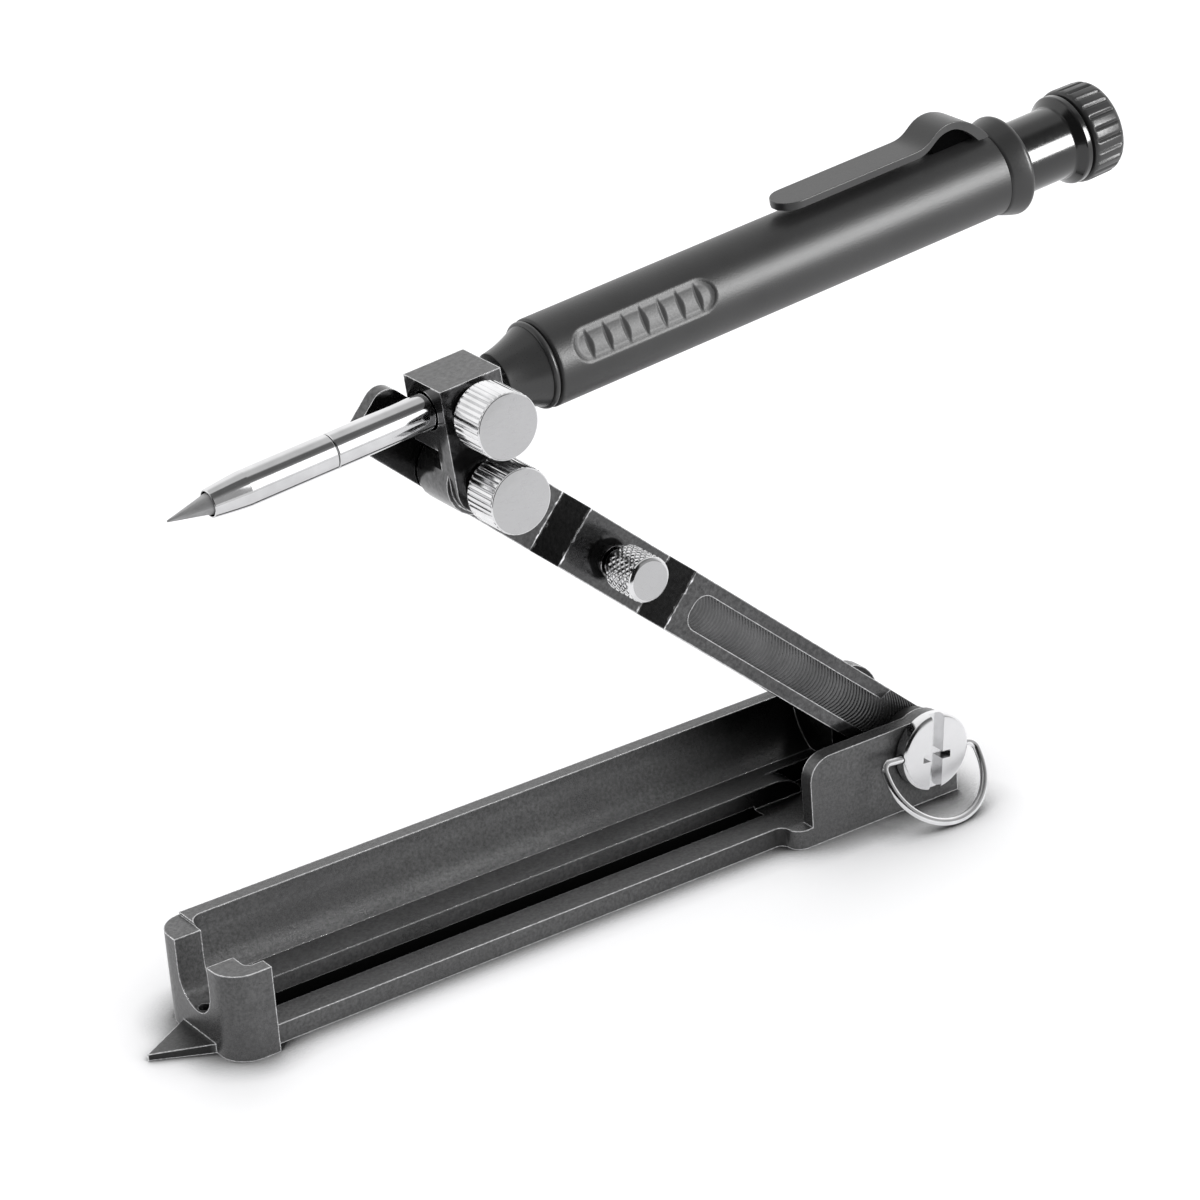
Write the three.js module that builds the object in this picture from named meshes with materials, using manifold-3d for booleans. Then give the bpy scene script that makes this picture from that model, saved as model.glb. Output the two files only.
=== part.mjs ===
// A folding marking gauge. A channel tray with a marking point stands on the work, an arm
// hinged at the tray's rear carries a swivelling clamp, and the clamp holds a push-button pencil.
// Millimetres, +Z up. The origin is on the tray's underside, below the hinge, in the point's plane:
// the tray runs along X with its point at -X, and the hinge screw's head looks along -Y.

import * as THREE from 'three';
import { mergeVertices } from 'three/addons/utils/BufferGeometryUtils.js';
import Module from 'manifold-3d';

const wasm = await Module();
wasm.setup();

// Gaps between pieces, and how far a cutter runs past what it cuts
const FIT_GAP = 0.3;
const SLIDE_GAP = 0.12;
const OVERRUN = 3;

// Tray, seen along X
const WALL_Y = 9.6;
const WALL_THICKNESS = 2.1;
const SCOOP_FOOT_Y = 3.8;
const SCOOP_RADIUS = 8.4;
const STEP_HEIGHT = 5.65;
const STEP_SIDE_ROOM = 0.55;
const STEP_LIP = 2.4;
const STEP_UNDERCUT = 1;
const STEP_NOSE_LENGTH = 4.4;
const STEP_NOSE_DROP = 3.3;
const STEP_NOSE_WIDTH = 2.9;
const GROOVE_WIDTH = 2.1;
const GROOVE_FLOOR = 0.9;
const LEDGE_WIDTH = 4.3;
const LEDGE_HEIGHT = 2.8;

// Tray's front: two posts with a round-bottomed notch between them, and the marking point
const FRONT_ROOM = 0.2;
const FRONT_THICKNESS = 3.9;
const POST_HEIGHT = 12.3;
const FAR_POST_HEIGHT = 12.9;
const POST_PROUD = 1.75;
const POST_RETURN = 2.5;
const POST_SIDE_THICKNESS = 2.1;
const POST_FILLET = 1.1;
const NOTCH_WIDTH = 8;
const NOTCH_FLOOR = 4.35;
const CHANNEL_CORNER = 2.2;
const POINT_LENGTH = 7.7;
const POINT_WIDTH = 8.3;
const POINT_ROOT_THICKNESS = 1.35;
const POINT_TIP_THICKNESS = 0.9;
const FLOOR_HOLE_DIAMETER = 1.8;
const FLOOR_HOLE_DEPTH = 2.2;
const FLOOR_HOLE_FROM_FACE = 1.2;

// Tray's rear: the near ear, the far block and the hinge between them
const HINGE_HEIGHT = 8.2;
const EAR_THICKNESS = 2.1;
const EAR_ROOM = 1.3;
const EAR_RUN = 19.65;
const EAR_DROP = 0.55;
const EAR_CORNER = 3.5;
const EAR_BOSS_RADIUS = 5;
const EAR_STEP_LENGTH = 2.8;
const STEP_END_RUN = 18.7;
const BLOCK_RUN = 9;
const BLOCK_RADIUS = 4.4;
const WALL_BOSS_RADIUS = 5.6;
const WALL_DROP = 0.6;
const FOOT_FILLET = 1.2;
const FOOT_CORNER = 1.9;

// Hinge screw and its D-ring
const HINGE_SHANK_DIAMETER = 5;
const HINGE_SHANK_SHORT = 1.6;
const HINGE_HEAD_DIAMETER = 11;
const HINGE_HEAD_THICKNESS = 2;
const HINGE_HEAD_CHAMFER = 0.35;
const HINGE_SCREW_TURN = 6;
const SLOT_WIDTH = 2;
const SLOT_DEPTH = 1.1;
const CROSS_SLOT_WIDTH = 1.1;
const CROSS_SLOT_LENGTH = 4.6;
const CROSS_SLOT_DROP = 0.55;
const SPACER_ROOM = 0.9;
const RING_WIRE_DIAMETER = 1.1;
const RING_WIDTH = 15.8;
const RING_REACH = 10;
const RING_LEG_BEND = 1.3;
const RING_LEG_DEPTH = 1.6;
const RING_SHIFT = 0.9;
const RING_TILT = 40;
const RING_INSET = 0.85;

// Arm, measured along its length from the hinge
const ARM_ANGLE = 42;
const ARM_BACK_Y = -1.7;
const ARM_WIDTH = 8.6;
const ARM_REACH = 104.9;
const ARM_THICKNESS = 5.6;
const ARM_PAD_THICKNESS = 3.8;
const ARM_END_THICKNESS = 2;
const ARM_END_CORNER = 2.4;
const ARM_RAMP_LENGTH = 3.8;
const ARM_PAD_START = 52.5;
const ARM_PAD_END = 67.9;
const POCKET_DEPTH = 1.2;
const POCKET_RAIL = 1.8;
const POCKET_END = 46.2;
const POCKET_CORNER_SHARE = 0.8;
const EYE_FACE_RADIUS = 9;
const PAD_SCREW_AT = 59.8;
const SWIVEL_FROM_END = 14.7;

// Thumb screws
const SCREW_SHANK_DIAMETER = 4;
const KNOB_DIAMETER = 8.75;
const KNOB_LENGTH = 5.8;
const KNOB_STAND_OFF = 2.4;
const KNOB_NECK_DIAMETER = 5.6;
const KNOB_CHAMFER = 0.35;
const KNURL_DEPTH = 0.28;
const PAD_KNOB_DIAMETER = 6.3;
const PAD_KNOB_LENGTH = 5.7;
const PAD_KNOB_STAND_OFF = 2;

// Carriage: a block round the pencil's tube and a plate that runs down to the swivel
const PENCIL_PITCH = 5.2;
const KNOB_SPACING = 10.2;
const CARRIAGE_DEPTH = 8.4;
const BLOCK_LEFT = 4.1;
const BLOCK_RIGHT = 4.8;
const BLOCK_TOP_ABOVE_BORE = 3.7;
const BLOCK_FOOT = 5;
const PLATE_THICKNESS = 3;
const SWIVEL_BOSS_RADIUS = 4.7;

// Pencil, measured along its axis from the clamp screw, the tip at minus
const LEAD_DIAMETER = 2.8;
const LEAD_TIP_AT = -41.2;
const LEAD_POINT_LENGTH = 5.9;
const LEAD_POINT_FLAT = 0.15;
const LEAD_END_AT = 55;
const NOSE_RIM_AT = -35.5;
const NOSE_RIM_DIAMETER = 3.7;
const NOSE_SHOULDER_AT = -30.4;
const NOSE_JOINT_AT = -18.1;
const NOSE_SPIGOT_LENGTH = 2.4;
const NOSE_THROAT_LENGTH = 3;
const TUBE_DIAMETER = 4.7;
const TUBE_BORE = 4.04;
const TUBE_END_AT = 26;
const COLLET_FRONT_AT = -26.8;
const COLLET_BACK_AT = -15.6;
const COLLET_WALL = 0.4;
const COLLET_SLIT = 0.4;
const COLLET_SLIT_LENGTH = 6;
const CONE_FRONT_AT = 6;
const CONE_FRONT_DIAMETER = 7.4;
const CONE_WAIST_SHARE = 0.42;
const BEAD_AT = 11.8;
const BEAD_RADIUS = 0.45;
const BEAD_DIAMETER = 11.5;
const BARREL_FRONT_AT = 12.6;
const BARREL_DIAMETER = 11.76;
const BARREL_FRONT_CHAMFER = 0.35;
const BARREL_SHOULDER_AT = 42;
const BARREL_BORE = 10.2;
const BARREL_END_AT = 83.8;
const COLLAR_DIAMETER = 13.6;
const COLLAR_LENGTH = 3.4;
const COLLAR_ROUND = 0.7;

// Grip pads sunk into the barrel, each with a row of lens-shaped notches
const PAD_COUNT = 3;
const PAD_START_AT = 14.9;
const PAD_LENGTH = 21.9;
const PAD_WIDTH = 5;
const PAD_DEPTH = 0.35;
const PAD_ANGLE = 24.5;
const NOTCH_COUNT = 7;
const NOTCH_PITCH = 2.78;
const NOTCH_FIRST_AT = 17.45;
const NOTCH_LENGTH = 4.5;
const NOTCH_BREADTH = 0.9;
const NOTCH_DEPTH = 0.55;

// Clip, in the plane through the pencil's axis
const CLIP_WIDTH = 5.4;
const CLIP_FRONT_AT = 50.5;
const CLIP_THICKNESS = 1.05;
const CLIP_LIFT = 1.05;
const CLIP_ARCH_START_AT = 71.6;
const CLIP_ARCH_TOP_AT = 77.4;
const CLIP_ARCH_RISE = 2;
const CLIP_ROOT_AT = 83.6;
const CLIP_ROOT_THICKNESS = 2;
const CLIP_TOOTH_AT = 78.9;
const CLIP_TOOTH_WIDTH = 0.9;

// Push button, its spring and the ribbed cap with the sharpener
const GUIDE_WALL = 0.4;
const GUIDE_END_AT = 64;
const BUTTON_FRONT_AT = 60;
const BUTTON_DIAMETER = 9.8;
const BUTTON_FLANGE_AT = 95.9;
const BUTTON_FLANGE_THICKNESS = 1.6;
const BUTTON_FLANGE_DIAMETER = 12.1;
const BUTTON_FLANGE_RIM = 0.4;
const BUTTON_SWELL_DIAMETER = 10.5;
const BUTTON_SWELL_LENGTH = 1.2;
const BUTTON_SPIGOT_DIAMETER = 6.6;
const BUTTON_SPIGOT_LENGTH = 2.6;
const SPRING_WIRE_DIAMETER = 0.6;
const SPRING_DIAMETER = 6.6;
const SPRING_TURNS = 6;
const CAP_AT = 97.9;
const CAP_LENGTH = 5.1;
const CAP_DIAMETER = 12.8;
const CAP_FLUTES = 24;
const CAP_FLUTE_DEPTH = 0.35;
const CAP_CHAMFER = 0.5;
const CAP_HOLE_DIAMETER = 3.4;
const BLADE_THICKNESS = 0.5;
const BLADE_WIDTH = 1.4;
const BLADE_LENGTH = 6;

// How finely round things are cut
const FINE_SIDES = 32;
const ROUND_SIDES = 24;
const SMALL_SIDES = 20;
const WIRE_SIDES = 8;
const RING_STEPS = 30;
const SPRING_STEPS_A_TURN = 9;
const SPRING_SIDES = 5;
const ARC_STEPS = 6;
const KNURL_TEETH = 36;

// Faces and places that several pieces share
const armBack = ARM_BACK_Y;
const armFace = armBack - ARM_THICKNESS;
const padFace = armBack - ARM_PAD_THICKNESS;
const endFace = armBack - ARM_END_THICKNESS;
const eyeFace = armFace + POCKET_DEPTH;
const earInner = armFace - EAR_ROOM;
const earOuter = earInner - EAR_THICKNESS;
const blockFace = armBack + FIT_GAP;
const stepEdge = armBack + STEP_SIDE_ROOM;
const grooveEdge = stepEdge - GROOVE_WIDTH;
const railFace = grooveEdge - LEDGE_WIDTH;
const postFace = railFace - POST_PROUD;
const wallInner = WALL_Y - WALL_THICKNESS;
const wallHeight = HINGE_HEIGHT + WALL_BOSS_RADIUS - WALL_DROP;
const earHeight = HINGE_HEIGHT + EAR_BOSS_RADIUS - EAR_DROP;
const frontInner = -ARM_REACH - FRONT_ROOM;
const frontOuter = frontInner - FRONT_THICKNESS;
const earStart = -EAR_RUN - EAR_STEP_LENGTH;
const carriageBack = endFace - FIT_GAP;
const carriageFace = carriageBack - CARRIAGE_DEPTH;
const pencilY = carriageBack - CARRIAGE_DEPTH / 2;
const buttonRear = BUTTON_FLANGE_AT + BUTTON_FLANGE_THICKNESS;
const swivelAt = ARM_REACH - SWIVEL_FROM_END;
const degrees = Math.PI / 180;

// A closed geometry as a solid: vertices merged by place, flattened triangles dropped
function solid(geometry) {
  const bare = geometry.clone();
  bare.deleteAttribute('normal');
  bare.deleteAttribute('uv');
  const merged = mergeVertices(bare);
  const index = merged.index.array;
  const kept = [];
  for (let i = 0; i < index.length; i += 3) {
    const [a, b, c] = [index[i], index[i + 1], index[i + 2]];
    if (a !== b && b !== c && c !== a) kept.push(a, b, c);
  }
  const vertProperties = new Float32Array(merged.attributes.position.array);
  return new wasm.Manifold(new wasm.Mesh({ numProp: 3, vertProperties, triVerts: new Uint32Array(kept) }));
}

// The way back from a solid to a geometry with flat-shaded faces
function geometryOf(body) {
  const mesh = body.getMesh();
  const geometry = new THREE.BufferGeometry();
  geometry.setAttribute('position', new THREE.BufferAttribute(new Float32Array(mesh.vertProperties), 3));
  geometry.setIndex(new THREE.BufferAttribute(new Uint32Array(mesh.triVerts), 1));
  const flat = geometry.toNonIndexed();
  flat.computeVertexNormals();
  return flat;
}

function outline(points) {
  return new THREE.Shape(points.map(([u, v]) => new THREE.Vector2(u, v)));
}

function prism(shape, length, basis, low) {
  const options = { depth: length, bevelEnabled: false, curveSegments: ARC_STEPS };
  const geometry = new THREE.ExtrudeGeometry(shape, options);
  geometry.translate(0, 0, low);
  geometry.applyMatrix4(basis);
  return solid(geometry);
}

const X = new THREE.Vector3(1, 0, 0);
const Y = new THREE.Vector3(0, 1, 0);
const Z = new THREE.Vector3(0, 0, 1);

// Outline in (y, z), run along X
function prismX(shape, from, to) {
  return prism(shape, to - from, new THREE.Matrix4().makeBasis(Y, Z, X), from);
}

// Outline in (x, z), run along Y
function prismY(shape, from, to) {
  return prism(shape, to - from, new THREE.Matrix4().makeBasis(X, Z, Y.clone().negate()), -to);
}

// Outline in (x, y), run along Z
function prismZ(shape, from, to) {
  return prism(shape, to - from, new THREE.Matrix4(), from);
}

function box(x0, x1, y0, y1, z0, z1) {
  return prismZ(outline([[x0, y0], [x1, y0], [x1, y1], [x0, y1]]), z0, z1);
}

// A turned piece round Y from (radius, y) points that run toward +Y
function turnedY(profile, sides) {
  const points = profile.map(([r, h]) => new THREE.Vector2(r, h));
  return solid(new THREE.LatheGeometry(points, sides));
}

// A turned piece round X from (radius, x) points that run toward +X
function turnedX(profile, sides) {
  const points = profile.map(([r, h]) => new THREE.Vector2(r, h));
  const geometry = new THREE.LatheGeometry(points, sides);
  geometry.rotateZ(-Math.PI / 2);
  return solid(geometry);
}

function rodY(radius, from, to, sides = SMALL_SIDES) {
  return turnedY([[0, from], [radius, from], [radius, to], [0, to]], sides);
}

function rodX(radius, from, to, sides = SMALL_SIDES) {
  return turnedX([[0, from], [radius, from], [radius, to], [0, to]], sides);
}

// A closed tube wall round X: outer points toward +X, then back along the bore
function sleeveX(outer, inner, sides) {
  const back = [...inner].reverse();
  return turnedX([...outer, ...back, outer[0]], sides);
}

function mesh(name, body, look) {
  const piece = new THREE.Mesh(geometryOf(body), new THREE.MeshStandardMaterial(look));
  piece.name = name;
  return piece;
}

const LOOKS = {
  blackMetal: { color: 0x2b2b2d, roughness: 0.38, metalness: 0.55 },
  glossBlack: { color: 0x161617, roughness: 0.22, metalness: 0.3 },
  blackPlastic: { color: 0x232325, roughness: 0.55, metalness: 0 },
  glossPlastic: { color: 0x121213, roughness: 0.18, metalness: 0 },
  chrome: { color: 0xd8d8da, roughness: 0.12, metalness: 1 },
  nickel: { color: 0xc4c4c4, roughness: 0.3, metalness: 1 },
  steel: { color: 0x9a9a9c, roughness: 0.35, metalness: 1 },
  brass: { color: 0xb08d4a, roughness: 0.35, metalness: 1 },
  graphite: { color: 0x3a3a3c, roughness: 0.6, metalness: 0.2 },
  nylon: { color: 0x1d1d1f, roughness: 0.6, metalness: 0 },
};

// The raised half of the channel: back wall, scoop and flat step, with a round inner corner in front
function trayRaisedHalf() {
  const run = wallInner - SCOOP_FOOT_Y;
  const rise = wallHeight - STEP_HEIGHT;
  const chord = Math.hypot(run, rise);
  const bow = Math.sqrt(SCOOP_RADIUS ** 2 - (chord / 2) ** 2);
  const centreY = (wallInner + SCOOP_FOOT_Y) / 2 - (bow * rise) / chord;
  const centreZ = (wallHeight + STEP_HEIGHT) / 2 + (bow * run) / chord;
  const from = Math.atan2(wallHeight - centreZ, wallInner - centreY);
  const to = Math.atan2(STEP_HEIGHT - centreZ, SCOOP_FOOT_Y - centreY);
  const section = new THREE.Shape();
  section.moveTo(stepEdge, 0);
  section.lineTo(WALL_Y, 0);
  section.lineTo(WALL_Y, wallHeight);
  section.lineTo(wallInner, wallHeight);
  section.absarc(centreY, centreZ, SCOOP_RADIUS, from, to, true);
  section.lineTo(stepEdge, STEP_HEIGHT);
  const corner = new THREE.Shape();
  const c = CHANNEL_CORNER;
  corner.moveTo(frontInner, wallInner + POST_FILLET);
  corner.lineTo(frontInner + c, wallInner + POST_FILLET);
  corner.lineTo(frontInner + c, wallInner);
  corner.absarc(frontInner + c, wallInner - c, c, Math.PI / 2, Math.PI, false);
  const half = prismX(section, frontInner, -BLOCK_RUN).add(prismZ(corner, 0, wallHeight));
  const under = box(
    frontInner, earStart, stepEdge - OVERRUN, stepEdge + STEP_UNDERCUT, GROOVE_FLOOR, STEP_HEIGHT - STEP_LIP,
  );
  return half.subtract(under).subtract(stepNoseCut());
}

// The step's near edge ends in a rounded nose that falls away toward the hinge
function stepNoseCut() {
  const side = new THREE.Shape();
  const low = STEP_HEIGHT - STEP_NOSE_DROP;
  side.moveTo(-STEP_END_RUN, STEP_HEIGHT + OVERRUN);
  side.lineTo(-STEP_END_RUN, STEP_HEIGHT);
  side.absellipse(-STEP_END_RUN, low, STEP_NOSE_LENGTH, STEP_NOSE_DROP, Math.PI / 2, 0, true);
  side.lineTo(-BLOCK_RUN + OVERRUN, low);
  side.lineTo(-BLOCK_RUN + OVERRUN, STEP_HEIGHT + OVERRUN);
  return prismY(side, stepEdge - OVERRUN, stepEdge + STEP_NOSE_WIDTH);
}

// The low half: the groove and the ledge whose outer face is the near rail
function trayLowHalf() {
  const section = outline([
    [stepEdge, 0], [stepEdge, GROOVE_FLOOR], [grooveEdge, GROOVE_FLOOR],
    [grooveEdge, LEDGE_HEIGHT], [railFace, LEDGE_HEIGHT], [railFace, 0],
  ]);
  return prismX(section, frontInner - POST_FILLET, earStart);
}

// Front wall with its two posts, rounded outside, and the U-shaped notch
function trayFront() {
  const r = FRONT_THICKNESS;
  const wall = new THREE.Shape();
  wall.moveTo(frontInner, postFace);
  wall.absarc(frontInner, postFace + r, r, -Math.PI / 2, -Math.PI, true);
  wall.lineTo(frontOuter, WALL_Y - r);
  wall.absarc(frontInner, WALL_Y - r, r, Math.PI, Math.PI / 2, true);
  const high = prismZ(wall, 0, FAR_POST_HEIGHT);
  const reach = FRONT_THICKNESS + POST_RETURN;
  const above = box(frontOuter - r, frontInner + reach, postFace - r, 0, POST_HEIGHT, FAR_POST_HEIGHT + r);
  const side = new THREE.Shape();
  const sideInner = postFace + POST_SIDE_THICKNESS;
  side.moveTo(frontInner, postFace);
  side.lineTo(frontInner + POST_RETURN, postFace);
  side.lineTo(frontInner + POST_RETURN, sideInner);
  side.lineTo(frontInner + POST_FILLET, sideInner);
  side.absarc(frontInner + POST_FILLET, sideInner + POST_FILLET, POST_FILLET, -Math.PI / 2, -Math.PI, true);
  side.lineTo(frontInner - POST_FILLET, sideInner + POST_FILLET);
  const half = NOTCH_WIDTH / 2;
  const notch = new THREE.Shape();
  notch.moveTo(half, FAR_POST_HEIGHT + OVERRUN);
  notch.lineTo(-half, FAR_POST_HEIGHT + OVERRUN);
  notch.lineTo(-half, NOTCH_FLOOR + half);
  notch.absarc(0, NOTCH_FLOOR + half, half, Math.PI, 2 * Math.PI, false);
  const cut = prismX(notch, frontOuter - OVERRUN, frontInner + OVERRUN);
  return high.add(prismZ(side, 0, POST_HEIGHT)).subtract(above).subtract(cut);
}

function trayPoint() {
  const root = frontOuter + POST_FILLET;
  const tip = frontOuter - POINT_LENGTH;
  const rise = (POINT_ROOT_THICKNESS - POINT_TIP_THICKNESS) / POINT_LENGTH;
  const side = outline([
    [tip, 0], [root, 0], [root, POINT_ROOT_THICKNESS + rise * POST_FILLET], [tip, POINT_TIP_THICKNESS],
  ]);
  const half = POINT_WIDTH / 2;
  const plan = outline([[tip, 0], [frontOuter, -half], [root, -half], [root, half], [frontOuter, half]]);
  return prismY(side, -half, half).intersect(prismZ(plan, 0, POINT_ROOT_THICKNESS * 2));
}

// Side view of an ear or block: a straight top that runs into the round boss over the hinge
function hingePlate(from, height, corner, boss, yFrom, yTo) {
  const shape = new THREE.Shape();
  const meet = Math.asin((height - HINGE_HEIGHT) / boss);
  shape.moveTo(from, 0);
  shape.lineTo(from, height - corner);
  if (corner > 0) shape.absarc(from + corner, height - corner, corner, Math.PI, Math.PI / 2, true);
  shape.lineTo(-boss * Math.cos(meet), height);
  shape.absarc(0, HINGE_HEIGHT, boss, Math.PI - meet, 0, true);
  shape.lineTo(boss, 0);
  return prismY(shape, yFrom, yTo);
}

// The floor under the hinge, which stands proud of the rail with a fillet and a round corner
function trayFoot() {
  const fillet = FOOT_FILLET;
  const corner = FOOT_CORNER;
  const plan = new THREE.Shape();
  plan.moveTo(EAR_BOSS_RADIUS, earOuter);
  plan.lineTo(EAR_BOSS_RADIUS, WALL_Y);
  plan.lineTo(earStart, WALL_Y);
  plan.lineTo(earStart, railFace + fillet);
  plan.lineTo(earStart - fillet, railFace + fillet);
  plan.lineTo(earStart - fillet, railFace);
  plan.absarc(earStart - fillet, railFace - fillet, fillet, Math.PI / 2, 0, true);
  plan.absarc(earStart + corner, earOuter + corner, corner, Math.PI, (3 * Math.PI) / 2, false);
  return prismZ(plan, 0, LEDGE_HEIGHT);
}

function tray() {
  const ear = hingePlate(-EAR_RUN, earHeight, EAR_CORNER, EAR_BOSS_RADIUS, earOuter, earInner);
  const block = hingePlate(-BLOCK_RUN, HINGE_HEIGHT + BLOCK_RADIUS, 0, BLOCK_RADIUS, blockFace, WALL_Y);
  const wall = hingePlate(earStart, wallHeight, 0, WALL_BOSS_RADIUS, wallInner, WALL_Y);
  const bore = rodY(HINGE_SHANK_DIAMETER / 2 + FIT_GAP, earOuter - OVERRUN, WALL_Y + OVERRUN)
    .translate([0, 0, HINGE_HEIGHT]);
  const hole = new THREE.Shape();
  hole.absarc(frontOuter + FLOOR_HOLE_FROM_FACE, 0, FLOOR_HOLE_DIAMETER / 2, 0, 2 * Math.PI, false);
  const floorHole = prismZ(hole, NOTCH_FLOOR - FLOOR_HOLE_DEPTH, NOTCH_FLOOR + OVERRUN);
  return trayRaisedHalf().add(trayLowHalf()).add(trayFront()).add(trayPoint())
    .add(trayFoot()).add(wall).add(ear).add(block).subtract(bore).subtract(floorHole);
}

// Hinge screw round Y: head outside the near ear, shank through to the far block
function hingeScrew() {
  const r = HINGE_HEAD_DIAMETER / 2;
  const shank = HINGE_SHANK_DIAMETER / 2;
  const headBack = earOuter - FIT_GAP;
  const headFace = headBack - HINGE_HEAD_THICKNESS;
  const end = WALL_Y - HINGE_SHANK_SHORT;
  const body = turnedY([
    [0, headFace], [r - HINGE_HEAD_CHAMFER, headFace], [r, headFace + HINGE_HEAD_CHAMFER],
    [r, headBack], [shank, headBack], [shank, end], [0, end],
  ], FINE_SIDES);
  const half = SLOT_WIDTH / 2;
  const slotFloor = headFace + SLOT_DEPTH;
  const slot = box(-half, half, headFace - OVERRUN, slotFloor, -r - OVERRUN, r + OVERRUN);
  const long = CROSS_SLOT_LENGTH / 2;
  const wide = CROSS_SLOT_WIDTH / 2;
  const cross = box(-long, long, headFace - OVERRUN, slotFloor, -wide, wide)
    .translate([0, 0, -CROSS_SLOT_DROP]);
  return body.subtract(slot).subtract(cross).subtract(ringSocket(1)).subtract(ringSocket(-1));
}

// The ring's legs turn in two holes across the head, just behind its face
function ringAxisY() {
  return earOuter - FIT_GAP - HINGE_HEAD_THICKNESS + RING_INSET;
}

function ringSocket(side) {
  const r = HINGE_HEAD_DIAMETER / 2;
  const hole = RING_WIRE_DIAMETER / 2 + SLIDE_GAP;
  const depth = r - RING_LEG_DEPTH - RING_SHIFT - FIT_GAP;
  const [from, to] = side > 0 ? [depth, r + OVERRUN] : [-r - OVERRUN, -depth];
  return rodX(hole, from, to, WIRE_SIDES * 2).translate([0, ringAxisY(), 0]);
}

// The D-ring's wire in its own plane: two short legs toward the head, then a wide round bow.
// Local X lies along the legs and local -Z points down the bow.
class RingPath extends THREE.Curve {
  constructor() {
    super();
    this.half = RING_WIDTH / 2;
    this.leg = this.half - RING_LEG_BEND - (HINGE_HEAD_DIAMETER / 2 - RING_LEG_DEPTH);
    this.bend = (RING_LEG_BEND * Math.PI) / 2;
    this.straight = RING_REACH - this.half - RING_LEG_BEND;
    this.bow = Math.PI * this.half;
    this.total = 2 * (this.leg + this.bend + this.straight) + this.bow;
  }

  getPoint(share, target = new THREE.Vector3()) {
    const mirrored = share > 1 / 2;
    let rest = (mirrored ? 1 - share : share) * this.total;
    const side = mirrored ? 1 : -1;
    const { half, leg, bend, straight } = this;
    if (rest <= leg) return target.set(side * (half - RING_LEG_BEND - leg + rest), 0, 0);
    rest -= leg;
    if (rest <= bend) {
      const turn = rest / RING_LEG_BEND;
      const x = half - RING_LEG_BEND + RING_LEG_BEND * Math.sin(turn);
      return target.set(side * x, 0, -RING_LEG_BEND + RING_LEG_BEND * Math.cos(turn));
    }
    rest -= bend;
    if (rest <= straight) return target.set(side * half, 0, -RING_LEG_BEND - rest);
    const turn = (rest - straight) / half;
    return target.set(side * half * Math.cos(turn), 0, -RING_LEG_BEND - straight - half * Math.sin(turn));
  }
}

function roundWire(path, radius, sides, steps) {
  const section = new THREE.Shape();
  section.absarc(0, 0, radius, 0, 2 * Math.PI, false);
  const options = { steps, curveSegments: sides, extrudePath: path, bevelEnabled: false };
  return solid(new THREE.ExtrudeGeometry(section, options));
}

function hingeSpacer() {
  const outer = HINGE_HEIGHT - LEDGE_HEIGHT - SPACER_ROOM;
  const inner = HINGE_SHANK_DIAMETER / 2 + FIT_GAP;
  const from = earInner + FIT_GAP;
  const to = eyeFace - FIT_GAP;
  return turnedY([[inner, from], [outer, from], [outer, to], [inner, to], [inner, from]], ROUND_SIDES);
}

// Arm along local X from the hinge, its back flat, its near face stepped down twice
function arm() {
  const half = ARM_WIDTH / 2;
  const c = ARM_END_CORNER;
  const side = new THREE.Shape();
  side.absarc(0, 0, half, Math.PI / 2, (3 * Math.PI) / 2, false);
  side.lineTo(ARM_REACH - c, -half);
  side.absarc(ARM_REACH - c, -half + c, c, -Math.PI / 2, 0, false);
  side.lineTo(ARM_REACH, half - c);
  side.absarc(ARM_REACH - c, half - c, c, 0, Math.PI / 2, false);
  const blank = prismY(side, armFace, armBack);
  const steps = outline([
    [ARM_PAD_START - ARM_RAMP_LENGTH, armFace], [ARM_PAD_START, padFace], [ARM_PAD_END, padFace],
    [ARM_PAD_END + ARM_RAMP_LENGTH, endFace], [ARM_REACH + OVERRUN, endFace],
    [ARM_REACH + OVERRUN, armFace - OVERRUN], [ARM_PAD_START - ARM_RAMP_LENGTH, armFace - OVERRUN],
  ]);
  const inner = half - POCKET_RAIL;
  const p = inner * POCKET_CORNER_SHARE;
  const pocket = new THREE.Shape();
  pocket.moveTo(0, -inner);
  pocket.lineTo(POCKET_END - p, -inner);
  pocket.absarc(POCKET_END - p, -inner + p, p, -Math.PI / 2, 0, false);
  pocket.absarc(POCKET_END - p, inner - p, p, 0, Math.PI / 2, false);
  pocket.lineTo(0, inner);
  const hole = SCREW_SHANK_DIAMETER / 2 + FIT_GAP;
  const low = armFace - OVERRUN;
  const high = armBack + OVERRUN;
  return blank.subtract(prismZ(steps, -ARM_WIDTH, ARM_WIDTH))
    .subtract(prismY(pocket, low, eyeFace))
    .subtract(rodY(EYE_FACE_RADIUS, low, eyeFace, FINE_SIDES))
    .subtract(rodY(HINGE_SHANK_DIAMETER / 2 + FIT_GAP, low, high))
    .subtract(rodY(hole, low, high).translate([PAD_SCREW_AT, 0, 0]))
    .subtract(rodY(hole, low, high).translate([swivelAt, 0, 0]));
}

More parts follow.
